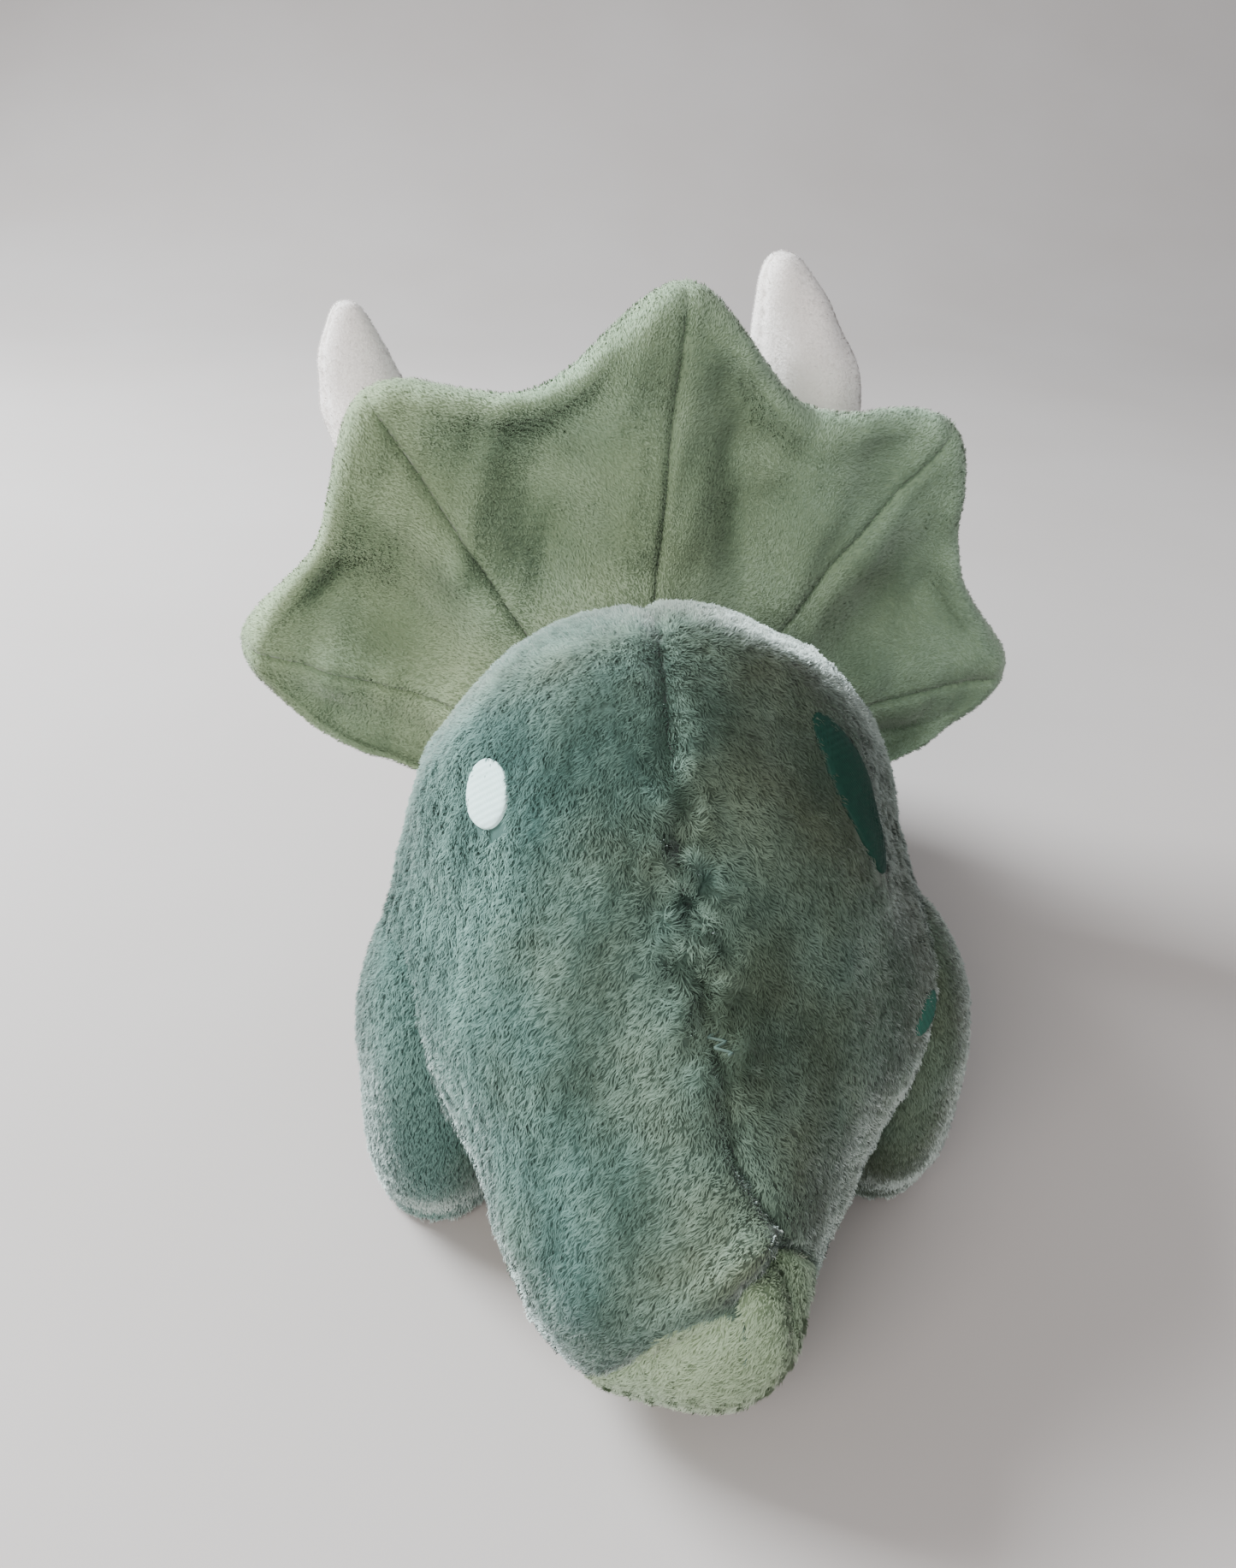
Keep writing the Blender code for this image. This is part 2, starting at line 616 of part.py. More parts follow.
NOSE_HORN = ((0.0, -141.0, 84.0, 0.0), (0.0, -142.0, 88.0, 9.0), (0.0, -144.0, 98.0, 10.0),
             (0.0, -147.0, 108.0, 7.5), (0.0, -149.5, 116.0, 4.5), (0.0, -151.0, 120.0, 0.0))
nose_stations = [(x, y, z, w, w, w) for x, y, z, w in NOSE_HORN]
nose_skin = part(soft_form(nose_stations, 1, 12), "nose_horn_skin", cream, NECK, HEAD_ROLL)
solidify(nose_skin, SKIN, -1.0)
boolean(nose_skin, "DIFFERENCE", head_outside)
filling("nose_horn_filling", nose_stations, 12, [head_outside], NECK, HEAD_ROLL, 1)

# Frill


def frill_outline(points, u):
    """Straight runs through the left half's points and their mirror images."""
    full = [*points, *[(-x, z) for x, z in points[-2::-1]]]
    steps = np.linspace(0.0, 6.0, len(full))
    full = np.array(full)
    return np.stack([np.interp(u, steps, full[:, 0]), np.interp(u, steps, full[:, 1])], axis=-1)


def frill_rim():
    rim = [FRILL_TIPS[0]]
    for valley, tip in zip(FRILL_VALLEYS, FRILL_TIPS[1:]):
        rim += [valley, tip]
    return rim


def frill_point(u, v, offset):
    """u runs from seam to seam, 0 to 6 across the fan, and v from the neck to the rim."""
    base = frill_outline(FRILL_BASE, u)
    rim = frill_outline(frill_rim(), u)
    flat = base + (rim - base) * v[..., None]
    cup = FRILL_CUP * np.sin(math.pi * u) ** 2 * v
    y = FRILL_Y - FRILL_SWEEP * (flat[..., 0] / FRILL_REACH) ** 2 - cup + offset
    dx = flat[..., 0] - FRILL_PIVOT[0]
    dz = flat[..., 1] - FRILL_PIVOT[2]
    c, s = math.cos(FRILL_ROLL), math.sin(FRILL_ROLL)
    return np.stack([FRILL_PIVOT[0] + dx * c + dz * s, y, FRILL_PIVOT[2] + dz * c - dx * s], axis=-1)


def frill_sheet(name, finish, u_range, v_range, columns, offset, thickness, side):
    """A layer of the fan: a grid bent to it, given its thickness towards one side or to both."""
    rows = 4
    bm = bmesh.new()
    bmesh.ops.create_grid(bm, x_segments=columns, y_segments=rows, size=0.5)
    flat = np.array([v.co for v in bm.verts]) + 0.5
    u = u_range[0] + (u_range[1] - u_range[0]) * flat[:, 0]
    v = v_range[0] + (v_range[1] - v_range[0]) * flat[:, 1]
    for vertex, co in zip(bm.verts, frill_point(u, v, offset)):
        vertex.co = co
    face_outwards(bm)
    bm.faces.ensure_lookup_table()
    if bm.faces[0].normal.y < 0:
        bmesh.ops.reverse_faces(bm, faces=bm.faces)
    obj = part(bm, name, finish, FRILL_HINGE)
    solidify(obj, thickness, side)
    return obj


GORE_NAMES = ("frill_gore_left_lower", "frill_gore_left_side", "frill_gore_left_top",
              "frill_gore_right_top", "frill_gore_right_side", "frill_gore_right_lower")
SEAM_INSET = 0.009
SKIN_LIFT = FRILL_CORE + 4 * GAP
for i, name in enumerate(GORE_NAMES):
    frill_sheet(name, light, (i + SEAM_INSET, i + 1 - SEAM_INSET), (0.0, 1.0), 6, SKIN_LIFT, FRILL_CLOTH, 1.0)
for side, u_range in (("left", (0.0, 3 - SEAM_INSET)), ("right", (3 + SEAM_INSET, 6.0))):
    frill_sheet(f"frill_front_{side}", light, u_range, (0.0, 1.0), 12, -SKIN_LIFT, FRILL_CLOTH, -1.0)
frill_sheet("frill_batting", fibre, (0.04, 5.96), (0.03, 0.96), 24, 0.0, 2 * FRILL_CORE, 0.0)
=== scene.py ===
"""Stuffed horned dinosaur in long-pile and short-pile plush, seen from behind and above.

The toy faces -Y, its left side is +X, and it stands on z = 0. Shapes are worked out in
millimetres from the middle of the neck's seam line, and SHIFT brings them to the frame's origin.
"""

import math

import bpy
import numpy as np
from mathutils import Matrix, Vector


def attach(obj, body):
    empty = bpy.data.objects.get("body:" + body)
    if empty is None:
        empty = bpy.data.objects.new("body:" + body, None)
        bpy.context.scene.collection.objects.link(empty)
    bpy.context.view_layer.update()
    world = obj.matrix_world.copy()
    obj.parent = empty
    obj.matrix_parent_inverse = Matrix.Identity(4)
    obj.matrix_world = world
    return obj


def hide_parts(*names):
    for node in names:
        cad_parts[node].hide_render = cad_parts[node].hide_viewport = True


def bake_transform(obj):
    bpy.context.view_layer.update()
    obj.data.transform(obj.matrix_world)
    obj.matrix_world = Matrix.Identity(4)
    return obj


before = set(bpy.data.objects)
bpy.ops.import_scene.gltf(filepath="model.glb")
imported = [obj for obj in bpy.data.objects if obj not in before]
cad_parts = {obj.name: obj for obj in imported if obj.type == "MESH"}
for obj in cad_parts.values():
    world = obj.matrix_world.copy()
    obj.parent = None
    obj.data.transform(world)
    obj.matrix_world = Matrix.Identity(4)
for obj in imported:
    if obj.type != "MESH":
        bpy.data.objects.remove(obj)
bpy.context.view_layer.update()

MM = 0.001
SHIFT = np.array([0.3, 23.1, 0.0])

# Joint centres and leans, as in the frame; the body's middle lies BODY_SHIFT to the left
NECK = np.array([0.0, -60.0, 72.0])
HEAD_ROLL = math.radians(7.0)
FRILL_ROLL = math.radians(-2.0)
FRILL_PIVOT = np.array([0.0, -60.0, 80.0])
BODY_SHIFT = 2.5


def metres(points):
    """Toy millimetres to frame metres."""
    return (np.asarray(points, float) + SHIFT) * MM


# Smooth helpers

WAVE_COUNT = 9


def rise(x, low, high):
    """Smoothstep from 0 at low to 1 at high."""
    f = np.clip((np.asarray(x, float) - low) / (high - low), 0.0, 1.0)
    return f * f * (3.0 - 2.0 * f)


def bell(x, middle, width):
    """A Gaussian hump of height 1."""
    return np.exp(-(((np.asarray(x, float) - middle) / width) ** 2))


def unit(v):
    return v / np.maximum(np.linalg.norm(v, axis=-1, keepdims=True), 1e-9)


def along_cloth(flow, normals):
    """What is left of a flow when its part along the normals is taken off."""
    return flow - normals * np.sum(flow * normals, axis=-1, keepdims=True)


def waves(points, size, seed):
    """Smooth noise about 0: a sum of sines along random directions with wavelengths near size."""
    rng = np.random.default_rng(seed)
    total = 0.0
    for _ in range(WAVE_COUNT):
        direction = unit(rng.normal(size=3))
        length = size * rng.uniform(0.7, 1.5)
        total = total + np.sin(points @ direction * (2 * math.pi / length) + rng.uniform(0, 6.28))
    return total / math.sqrt(WAVE_COUNT)


def through(stations, t):
    """Catmull-Rom curve through the stations, at t from 0 to their last index."""
    p = np.asarray(stations, float)
    p = np.vstack([2 * p[0] - p[1], p, 2 * p[-1] - p[-2]])
    t = np.asarray(t, float)
    i = np.clip(np.floor(t).astype(int), 0, len(p) - 4)
    f = (t - i)[..., None]
    a, b, c, d = p[i], p[i + 1], p[i + 2], p[i + 3]
    return 0.5 * (2 * b + (c - a) * f + (2 * a - 5 * b + 4 * c - d) * f**2 + (3 * b - a - 3 * c + d) * f**3)


def ring_point(stations, up_axis, t, angle):
    """An ellipse about the station at t: cos(angle) times its half width along X, and sin(angle)
    times its half size up or down along the up axis."""
    s = through(stations, t)
    across = np.maximum(s[..., 3], 0.0) * np.cos(angle)
    sine = np.sin(angle)
    along = np.where(sine > 0, np.maximum(s[..., 4], 0.0), np.maximum(s[..., 5], 0.0)) * sine
    point = s[..., :3].copy()
    point[..., 0] += across
    point[..., up_axis] += along
    return point


def surface_normals(points, middle=None):
    """Unit normals of a grid from its two directions' differences, turned away from its spine."""
    along = np.gradient(points, axis=0)
    across = np.gradient(points, axis=1)
    normal = np.cross(along, across)
    short = np.linalg.norm(normal, axis=-1) < 1e-6
    normal = unit(normal)
    if middle is not None:
        flip = np.sum(normal * (points - middle), axis=-1).sum() < 0
        normal = -normal if flip else normal
        normal[short] = unit(points - middle)[short]
    return normal


def lean_about(points, pivot, roll):
    """Turns points about the Y axis through a pivot."""
    x = points[..., 0] - pivot[0]
    z = points[..., 2] - pivot[2]
    c, s = math.cos(roll), math.sin(roll)
    return np.stack([pivot[0] + c * x + s * z, points[..., 1], pivot[2] + c * z - s * x], axis=-1)


# Meshes from grids


def finish_mesh(name, points, faces, material):
    """A smooth-shaded object at the origin, from points in toy millimetres."""
    mesh = bpy.data.meshes.new(name)
    mesh.from_pydata(metres(points).tolist(), [], faces)
    mesh.materials.append(material)
    mesh.shade_smooth()
    obj = bpy.data.objects.new(name, mesh)
    bpy.context.scene.collection.objects.link(obj)
    return obj


def grid_faces(rows, columns, wrap=False):
    """Quads of a grid stored row by row; wrap joins the last column to the first."""
    r = np.arange(rows - 1)[:, None]
    c = np.arange(columns if wrap else columns - 1)[None, :]
    d = (c + 1) % columns
    a = r * columns + c
    b = r * columns + d
    return np.stack([a, b, b + columns, a + columns], axis=-1).reshape(-1, 4)


def cloth(name, points, normals, material, allowance=2.2):
    """A skin panel: its grid, with its two long edges turned inwards as a seam allowance."""
    first = points[:, :1] - allowance * normals[:, :1]
    last = points[:, -1:] - allowance * normals[:, -1:]
    grid = np.concatenate([first, points, last], axis=1)
    rows, columns = grid.shape[:2]
    flat, faces = grid.reshape(-1, 3), grid_faces(rows, columns)
    a, b, c = (flat[faces[:, i]] for i in (0, 1, 2))
    facing = np.cross(b - a, c - a).reshape(rows - 1, columns - 1, 3)[:, 1:-1]
    if np.sum(facing * normals[:-1, :-1]) < 0:
        faces = faces[:, ::-1]
    return finish_mesh(name, flat, faces.tolist(), material)


# Pile: every blade is a thin curved leaf of three triangles rooted in the cloth


TIP_SHADE = 0.44


def pile(name, points, normals, comb, material, per_mm2, length, width, seed,
         lean=0.8, ruffle=0.35, clump=2.2, keep=None, tone=None, stretch=None):
    """Blades on a grid. Cells are drawn by their area times keep; a blade starts at a random
    place in its cell, leans along the combed direction by the sine lean, and is turned by smooth
    noise of wavelength clump and by a share ruffle of pure chance. The attribute pile is 0 at the
    root and up to 1 at the tip; tone adds to it and stretch multiplies the length."""
    rng = np.random.default_rng(seed)
    diagonal_a = points[1:, 1:] - points[:-1, :-1]
    diagonal_b = points[1:, :-1] - points[:-1, 1:]
    area = 0.5 * np.linalg.norm(np.cross(diagonal_a, diagonal_b), axis=-1)
    weight = area if keep is None else area * keep[:-1, :-1]
    count = int(weight.sum() * per_mm2)
    cell = rng.choice(weight.size, size=count, p=(weight / weight.sum()).ravel())
    row, column = np.divmod(cell, weight.shape[1])
    u, v = rng.random((2, count, 1))

    def at(field):
        f = field if field.ndim == 3 else field[..., None]
        low = f[row, column] * (1 - v) + f[row, column + 1] * v
        high = f[row + 1, column] * (1 - v) + f[row + 1, column + 1] * v
        return low * (1 - u) + high * u

    root, normal, flow = at(points), unit(at(normals)), at(comb)
    side = np.cross(normal, unit(flow))
    swirl = 0.45 * waves(root, clump, seed + 1)[:, None] + ruffle * rng.normal(size=(count, 1))
    flow = unit(flow - normal * np.sum(flow * normal, axis=1, keepdims=True) + side * swirl)
    side = np.cross(normal, flow)
    stray = 0.16 * waves(root, clump * 1.3, seed + 2)[:, None] + 0.1 * rng.normal(size=(count, 1))
    tilt = np.clip(lean + stray, 0.2, 0.96)
    tall = length * rng.uniform(0.7, 1.25, (count, 1))
    if stretch is not None:
        tall = tall * at(stretch)
    up = np.sqrt(1 - tilt**2)
    wide = 0.5 * width * rng.uniform(0.8, 1.25, (count, 1))
    bend = root + flow * tall * tilt * 0.4 + normal * tall * (0.55 * up + 0.08)
    tip = root + flow * tall * tilt + normal * tall * up * 0.85
    base = root - normal * 0.25
    half, narrow = side * wide, side * wide * 0.85
    corners = np.stack([base - half, base + half, bend - narrow, bend + narrow, tip], axis=1)

    start = 5 * np.arange(count)[:, None]
    pattern = np.array([[0, 2, 1], [1, 2, 3], [2, 4, 3]])
    faces = (start[:, :, None] + pattern[None]).reshape(-1, 3)
    shade = np.array([0.0, 0.0, 0.5, 0.5, 1.0])[None, :] * TIP_SHADE
    shade = shade + 0.09 * rng.random((count, 1)) + 0.06 * waves(root, clump, seed + 3)[:, None]
    if tone is not None:
        shade = shade + at(tone)
    towards_tip = 0.55 * np.array([0.0, 0.0, 0.3, 0.3, 0.6])[None, :, None] * flow[:, None, :]
    shaded_normal = unit(normal[:, None, :] + towards_tip + 0.07 * rng.normal(size=(count, 1, 3)))

    mesh = bpy.data.meshes.new(name)
    mesh.vertices.add(5 * count)
    mesh.vertices.foreach_set("co", metres(corners.reshape(-1, 3)).astype(np.float32).ravel())
    mesh.loops.add(9 * count)
    mesh.loops.foreach_set("vertex_index", faces.astype(np.int32).ravel())
    mesh.polygons.add(3 * count)
    mesh.polygons.foreach_set("loop_start", np.arange(0, 9 * count, 3, dtype=np.int32))
    mesh.update(calc_edges=True)
    mesh.polygons.foreach_set("use_smooth", np.ones(3 * count, bool))
    layer = mesh.attributes.new("pile", "FLOAT", "POINT")
    layer.data.foreach_set("value", np.clip(shade, 0, 1).astype(np.float32).ravel())
    mesh.normals_split_custom_set_from_vertices(shaded_normal.reshape(-1, 3).tolist())
    mesh.materials.append(material)
    obj = bpy.data.objects.new(name, mesh)
    bpy.context.scene.collection.objects.link(obj)
    return obj


# Materials


def mottle_group():
    """Patches: noise on Object coordinates mixes a colour with its other turn; the last input, times X,
    moves the mix towards the first colour on the toy's left and towards the other one on its right, painted
    light: the colour of the light on each side."""
    group = bpy.data.node_groups.new("cloth mottle", "ShaderNodeTree")
    sockets = group.interface
    sockets.new_socket("Colour", in_out="INPUT", socket_type="NodeSocketColor")
    sockets.new_socket("Other", in_out="INPUT", socket_type="NodeSocketColor")
    sockets.new_socket("Scale", in_out="INPUT", socket_type="NodeSocketFloat")
    sockets.new_socket("Side light tint", in_out="INPUT", socket_type="NodeSocketFloat")
    sockets.new_socket("Colour", in_out="OUTPUT", socket_type="NodeSocketColor")
    nodes, links = group.nodes, group.links
    into, out = nodes.new("NodeGroupInput"), nodes.new("NodeGroupOutput")
    where = nodes.new("ShaderNodeTexCoord")
    noise = nodes.new("ShaderNodeTexNoise")
    noise.inputs["Detail"].default_value = 3.0
    spread = nodes.new("ShaderNodeMapRange")
    spread.inputs["From Min"].default_value = 0.25
    spread.inputs["From Max"].default_value = 0.75
    mix = nodes.new("ShaderNodeMix")
    mix.data_type = "RGBA"
    split = nodes.new("ShaderNodeSeparateXYZ")
    side_light_tint = nodes.new("ShaderNodeMath")
    side_light_tint.operation = "MULTIPLY"
    shifted = nodes.new("ShaderNodeMath")
    shifted.operation = "SUBTRACT"
    links.new(where.outputs["Object"], noise.inputs["Vector"])
    links.new(where.outputs["Object"], split.inputs["Vector"])
    links.new(into.outputs["Scale"], noise.inputs["Scale"])
    links.new(noise.outputs["Fac"], spread.inputs["Value"])
    links.new(split.outputs["X"], side_light_tint.inputs[0])
    links.new(into.outputs["Side light tint"], side_light_tint.inputs[1])
    links.new(spread.outputs["Result"], shifted.inputs[0])
    links.new(side_light_tint.outputs["Value"], shifted.inputs[1])
    links.new(shifted.outputs["Value"], mix.inputs["Factor"])
    links.new(into.outputs["Colour"], mix.inputs["A"])
    links.new(into.outputs["Other"], mix.inputs["B"])
    links.new(mix.outputs["Result"], out.inputs["Colour"])
    return group


MOTTLE = mottle_group()


def shader_material(name, roughness, sheen=0.0, sheen_roughness=0.4, sheen_tint=(1, 1, 1)):
    """A new material with its nodes, its links and its Principled shader."""
    made = bpy.data.materials.new(name)
    made.use_nodes = True
    shader = made.node_tree.nodes["Principled BSDF"]
    shader.inputs["Roughness"].default_value = roughness
    shader.inputs["Specular IOR Level"].default_value = 0.2
    shader.inputs["Sheen Weight"].default_value = sheen
    shader.inputs["Sheen Roughness"].default_value = sheen_roughness
    shader.inputs["Sheen Tint"].default_value = (*sheen_tint, 1.0)
    return made, made.node_tree.nodes, made.node_tree.links, shader


def mottled(nodes, colour, other, scale, side_light_tint=0.0):
    """Puts the mottle group among a material's nodes and gives its colour."""
    node = nodes.new("ShaderNodeGroup")
    node.node_tree = MOTTLE
    node.inputs["Colour"].default_value = (*colour, 1.0)
    node.inputs["Other"].default_value = (*other, 1.0)
    node.inputs["Scale"].default_value = scale
    node.inputs["Side light tint"].default_value = side_light_tint
    return node.outputs["Colour"]


def plush_pile(name, root, root_other, tip, tip_other, scale, sheen, sheen_tint, side_light_tint=0.0):
    """Blade colour: a root colour to a tip colour along the attribute pile, each one mottled."""
    made, nodes, links, shader = shader_material(name, 0.8, sheen, 0.35, sheen_tint)
    along = nodes.new("ShaderNodeAttribute")
    along.attribute_name = "pile"
    mix = nodes.new("ShaderNodeMix")
    mix.data_type = "RGBA"
    links.new(along.outputs["Fac"], mix.inputs["Factor"])
    links.new(mottled(nodes, root, root_other, scale, side_light_tint), mix.inputs["A"])
    links.new(mottled(nodes, tip, tip_other, scale, side_light_tint), mix.inputs["B"])
    links.new(mix.outputs["Result"], shader.inputs["Base Color"])
    return made


def plush_ground(name, colour, other, scale, bump_scale=900.0, bump=0.25, side_light_tint=0.0):
    """The knitted ground under the pile: mottled colour with a fine nap as bump."""
    made, nodes, links, shader = shader_material(name, 0.9, 0.3, 0.5)
    links.new(mottled(nodes, colour, other, scale, side_light_tint), shader.inputs["Base Color"])
    where = nodes.new("ShaderNodeTexCoord")
    noise = nodes.new("ShaderNodeTexNoise")
    noise.inputs["Scale"].default_value = bump_scale
    noise.inputs["Detail"].default_value = 4.0
    lift = nodes.new("ShaderNodeBump")
    lift.inputs["Strength"].default_value = bump
    lift.inputs["Distance"].default_value = 0.0006
    links.new(where.outputs["Object"], noise.inputs["Vector"])
    links.new(noise.outputs["Fac"], lift.inputs["Height"])
    links.new(lift.outputs["Normal"], shader.inputs["Normal"])
    return made


def thread_material(name, colour, other):
    """Embroidery thread: two close shades by fine noise, with a soft gloss."""
    made, nodes, links, shader = shader_material(name, 0.65, 0.05, 0.3)
    links.new(mottled(nodes, colour, other, 700.0), shader.inputs["Base Color"])
    shader.inputs["Specular IOR Level"].default_value = 0.18
    return made


# The last numbers of the dark and light pile and ground tint them by side: painted light, the colour of the
# light on the toy's left and on its right.
DARK_PILE = plush_pile("dark pile", (0.026, 0.068, 0.058), (0.050, 0.064, 0.038),
                       (0.215, 0.375, 0.33), (0.25, 0.31, 0.215), 24.0, 0.65, (0.88, 1.0, 0.96), 8.0)
DARK_GROUND = plush_ground("dark ground", (0.040, 0.090, 0.078), (0.066, 0.084, 0.055), 24.0, side_light_tint=9.0)
LIGHT_PILE = plush_pile("light pile", (0.16, 0.225, 0.125), (0.17, 0.255, 0.165),
                        (0.40, 0.495, 0.315), (0.42, 0.57, 0.42), 20.0, 0.35, (0.95, 1.0, 0.9), 5.0)
LIGHT_GROUND = plush_ground("light ground", (0.19, 0.25, 0.145), (0.195, 0.28, 0.18), 20.0, side_light_tint=5.0)
CREAM_PILE = plush_pile("cream pile", (0.93, 0.88, 0.86), (0.93, 0.88, 0.85),
                        (0.97, 0.94, 0.92), (0.97, 0.93, 0.91), 40.0, 0.3, (1.0, 0.97, 0.95))
CREAM_GROUND = plush_ground("cream ground", (0.93, 0.88, 0.86), (0.93, 0.88, 0.85), 40.0, 1400.0, 0.4)
MINT_THREAD = thread_material("mint thread", (0.62, 0.82, 0.80), (0.54, 0.75, 0.73))
DEEP_THREAD = thread_material("deep green thread", (0.004, 0.026, 0.018), (0.006, 0.036, 0.024))
MID_THREAD = thread_material("mid green thread", (0.014, 0.07, 0.05), (0.02, 0.09, 0.065))
FACE_THREAD = thread_material("face thread", (0.006, 0.008, 0.007), (0.012, 0.014, 0.012))


def eye_material():
    """Black polished plastic under a clear coat."""
    made, nodes, links, shader = shader_material("polished eye", 0.08)
    links.new(mottled(nodes, (0.004,) * 3, (0.009, 0.008, 0.008), 300.0), shader.inputs["Base Color"])
    shader.inputs["Coat Weight"].default_value = 0.6
    shader.inputs["Specular IOR Level"].default_value = 0.5
    return made


def fibre_material():
    """Loose polyester stuffing."""
    return plush_ground("loose fibre", (0.80, 0.80, 0.78), (0.88, 0.88, 0.87), 120.0, 500.0, 0.8)


def washer_material():
    """Plain moulded plastic behind the eyes."""
    made, nodes, links, shader = shader_material("moulded washer", 0.4)
    links.new(mottled(nodes, (0.70, 0.70, 0.68), (0.74, 0.74, 0.72), 200.0), shader.inputs["Base Color"])
    return made


# Body and tail in one continuous cloth


def section(x, y, low, high, half_width):
    """A body station from its lowest and highest points and its half width."""
    middle = 0.5 * (low + high)
    return (x, y, middle, half_width, high - middle, middle - low)


BODY = [
    (0.0, -98.0, 72.0, 0.0, 0.0, 0.0),
    (0.0, -96.9, 72.0, 11.6, 9.2, 9.2),
    (0.0, -92.2, 72.0, 25.4, 20.1, 20.1),
    (0.0, -83.4, 72.0, 37.8, 29.9, 29.9),
    (0.0, -71.7, 72.0, 45.6, 36.1, 36.1),
    section(0.0, -60.0, 34.0, 104.5, 48.0),
    section(0.5, -45.0, 29.5, 108.5, 50.5),
    section(1.5, -27.0, 18.5, 125.5, 56.5),
    section(3.0, -8.0, 9.5, 135.5, 60.5),
    section(3.5, 12.0, 6.5, 138.5, 62.5),
    section(3.5, 32.0, 6.5, 130.5, 60.5),
    section(3.0, 50.0, 8.0, 114.5, 54.5),
    section(4.0, 62.0, 8.5, 101.0, 47.0),
    section(6.0, 72.0, 8.0, 88.0, 40.5),
    section(8.0, 83.0, 6.5, 76.5, 35.0),
    section(8.5, 94.0, 6.5, 66.5, 29.5),
    section(6.0, 103.0, 9.0, 59.5, 23.5),
    section(2.0, 109.5, 15.0, 54.5, 16.5),
    section(-1.0, 114.0, 24.0, 48.0, 8.0),
    (-2.0, 115.5, 37.0, 0.0, 0.0, 0.0),
]


PANEL_COLUMNS = 90
CLOSING = (60.0, 19.0)  # middle and reach along Y of the hand-closed seam


def back_seam_x(y):
    """The back seam runs beside the middle, then drifts across the tail to its pinched tip."""
    return 8.0 - 9.0 * rise(y, 48.0, 88.0) - 12.0 * rise(y, 88.0, 106.0)


def side_seam_z(x, y):
    """Height where dark cloth meets light: level along the body, climbing to the right at the tail's tip."""
    level = 44.0 - 10.0 * rise(y, 20.0, 70.0) - 14.0 * rise(y, 80.0, 98.0)
    return level + rise(y, 90.0, 103.0) * (20.0 - 1.05 * (x - 4.0)) + 8.0 * rise(y, 103.0, 112.0)


SPOT_DEPTH = 12.0
SPOT_CLEARING = 0.88
# Each spot: station, degrees round the body, half length, half width, turn, thread and its slot
SPOTS = {
    "spot_left": (10.02, 45.0, 8.2, 5.6, 0.0, MINT_THREAD, "mint_thread"),
    "spot_right_front": (10.15, 131.0, 19.0, 6.5, -0.62, DEEP_THREAD, "deep_green_thread"),
    "spot_right_rear": (11.2, 173.0, 6.0, 3.0, 0.1, MID_THREAD, "mid_green_thread"),
}


def swell(points, normals):
    """Moves the body's surface along its normals: haunches, sunken seams, the puckered closing,
    the curled tip and soft lumps."""
    x, y, z = points[..., 0], points[..., 1], points[..., 2]
    outward = np.abs(normals[..., 0])
    haunch = 7.0 * bell(y, 27.0, 25.0) * bell(z, 44.0, 27.0) * outward**1.5
    seam = np.abs(x - back_seam_x(y))
    on_back = rise(normals[..., 2], -0.3, 0.3)
    groove = -1.5 * bell(seam, 0.0, 2.2) * on_back * rise(y, -60.0, -40.0)
    closing = bell(y, *CLOSING) * bell(seam, 0.0, 9.0) * on_back
    pucker = closing * (2.6 * waves(points, 8.0, 11) - 0.9)
    side = np.abs(z - side_seam_z(x, y))
    groove = groove - 1.0 * bell(side, 0.0, 2.0) * rise(y, -40.0, -20.0)
    pinch = np.sqrt((x + 13.0) ** 2 + (y - 103.0) ** 2 + (z - 48.0) ** 2)
    fold = -3.6 * bell(side, 0.0, 4.2) * rise(y, 94.0, 103.0) * bell(x, -14.0, 17.0)
    lip = 3.8 * bell(z - side_seam_z(x, y), 8.0, 5.5) * rise(y, 96.0, 104.0) * bell(x, -6.0, 17.0)
    dimple = -2.5 * bell(pinch, 0.0, 7.0)
    lumps = 0.7 * waves(points, 34.0, 5) + 0.25 * waves(points, 13.0, 6)
    hollow = -2.2 * bell(x, 26.0, 14.0) * bell(y, 84.0, 16.0) * on_back
    upper = rise(z, 62.0, 92.0) * outward * bell(y, 34.0, 34.0)
    slope = -upper * np.where(x > BODY_SHIFT, 3.0, 7.0)
    move = slope + haunch + groove + pucker + fold + lip + dimple + hollow + lumps * rise(y, -60.0, -40.0)
    return points + normals * move[..., None]


def body_surface(t, angle):
    """The body's cloth at station t and angle; the arrays form a grid with t along its rows."""
    plain = ring_point(BODY, 2, t, angle)
    spine = through(BODY, t)[..., :3]
    normals = surface_normals(plain, spine)
    moved = swell(plain, normals)
    return moved, surface_normals(moved, spine)


def body_rows(per_gap=9):
    gaps = len(BODY) - 1
    t = np.linspace(0.0, gaps, gaps * per_gap + 1)
    t[0], t[-1] = 0.02, gaps - 0.02
    return t


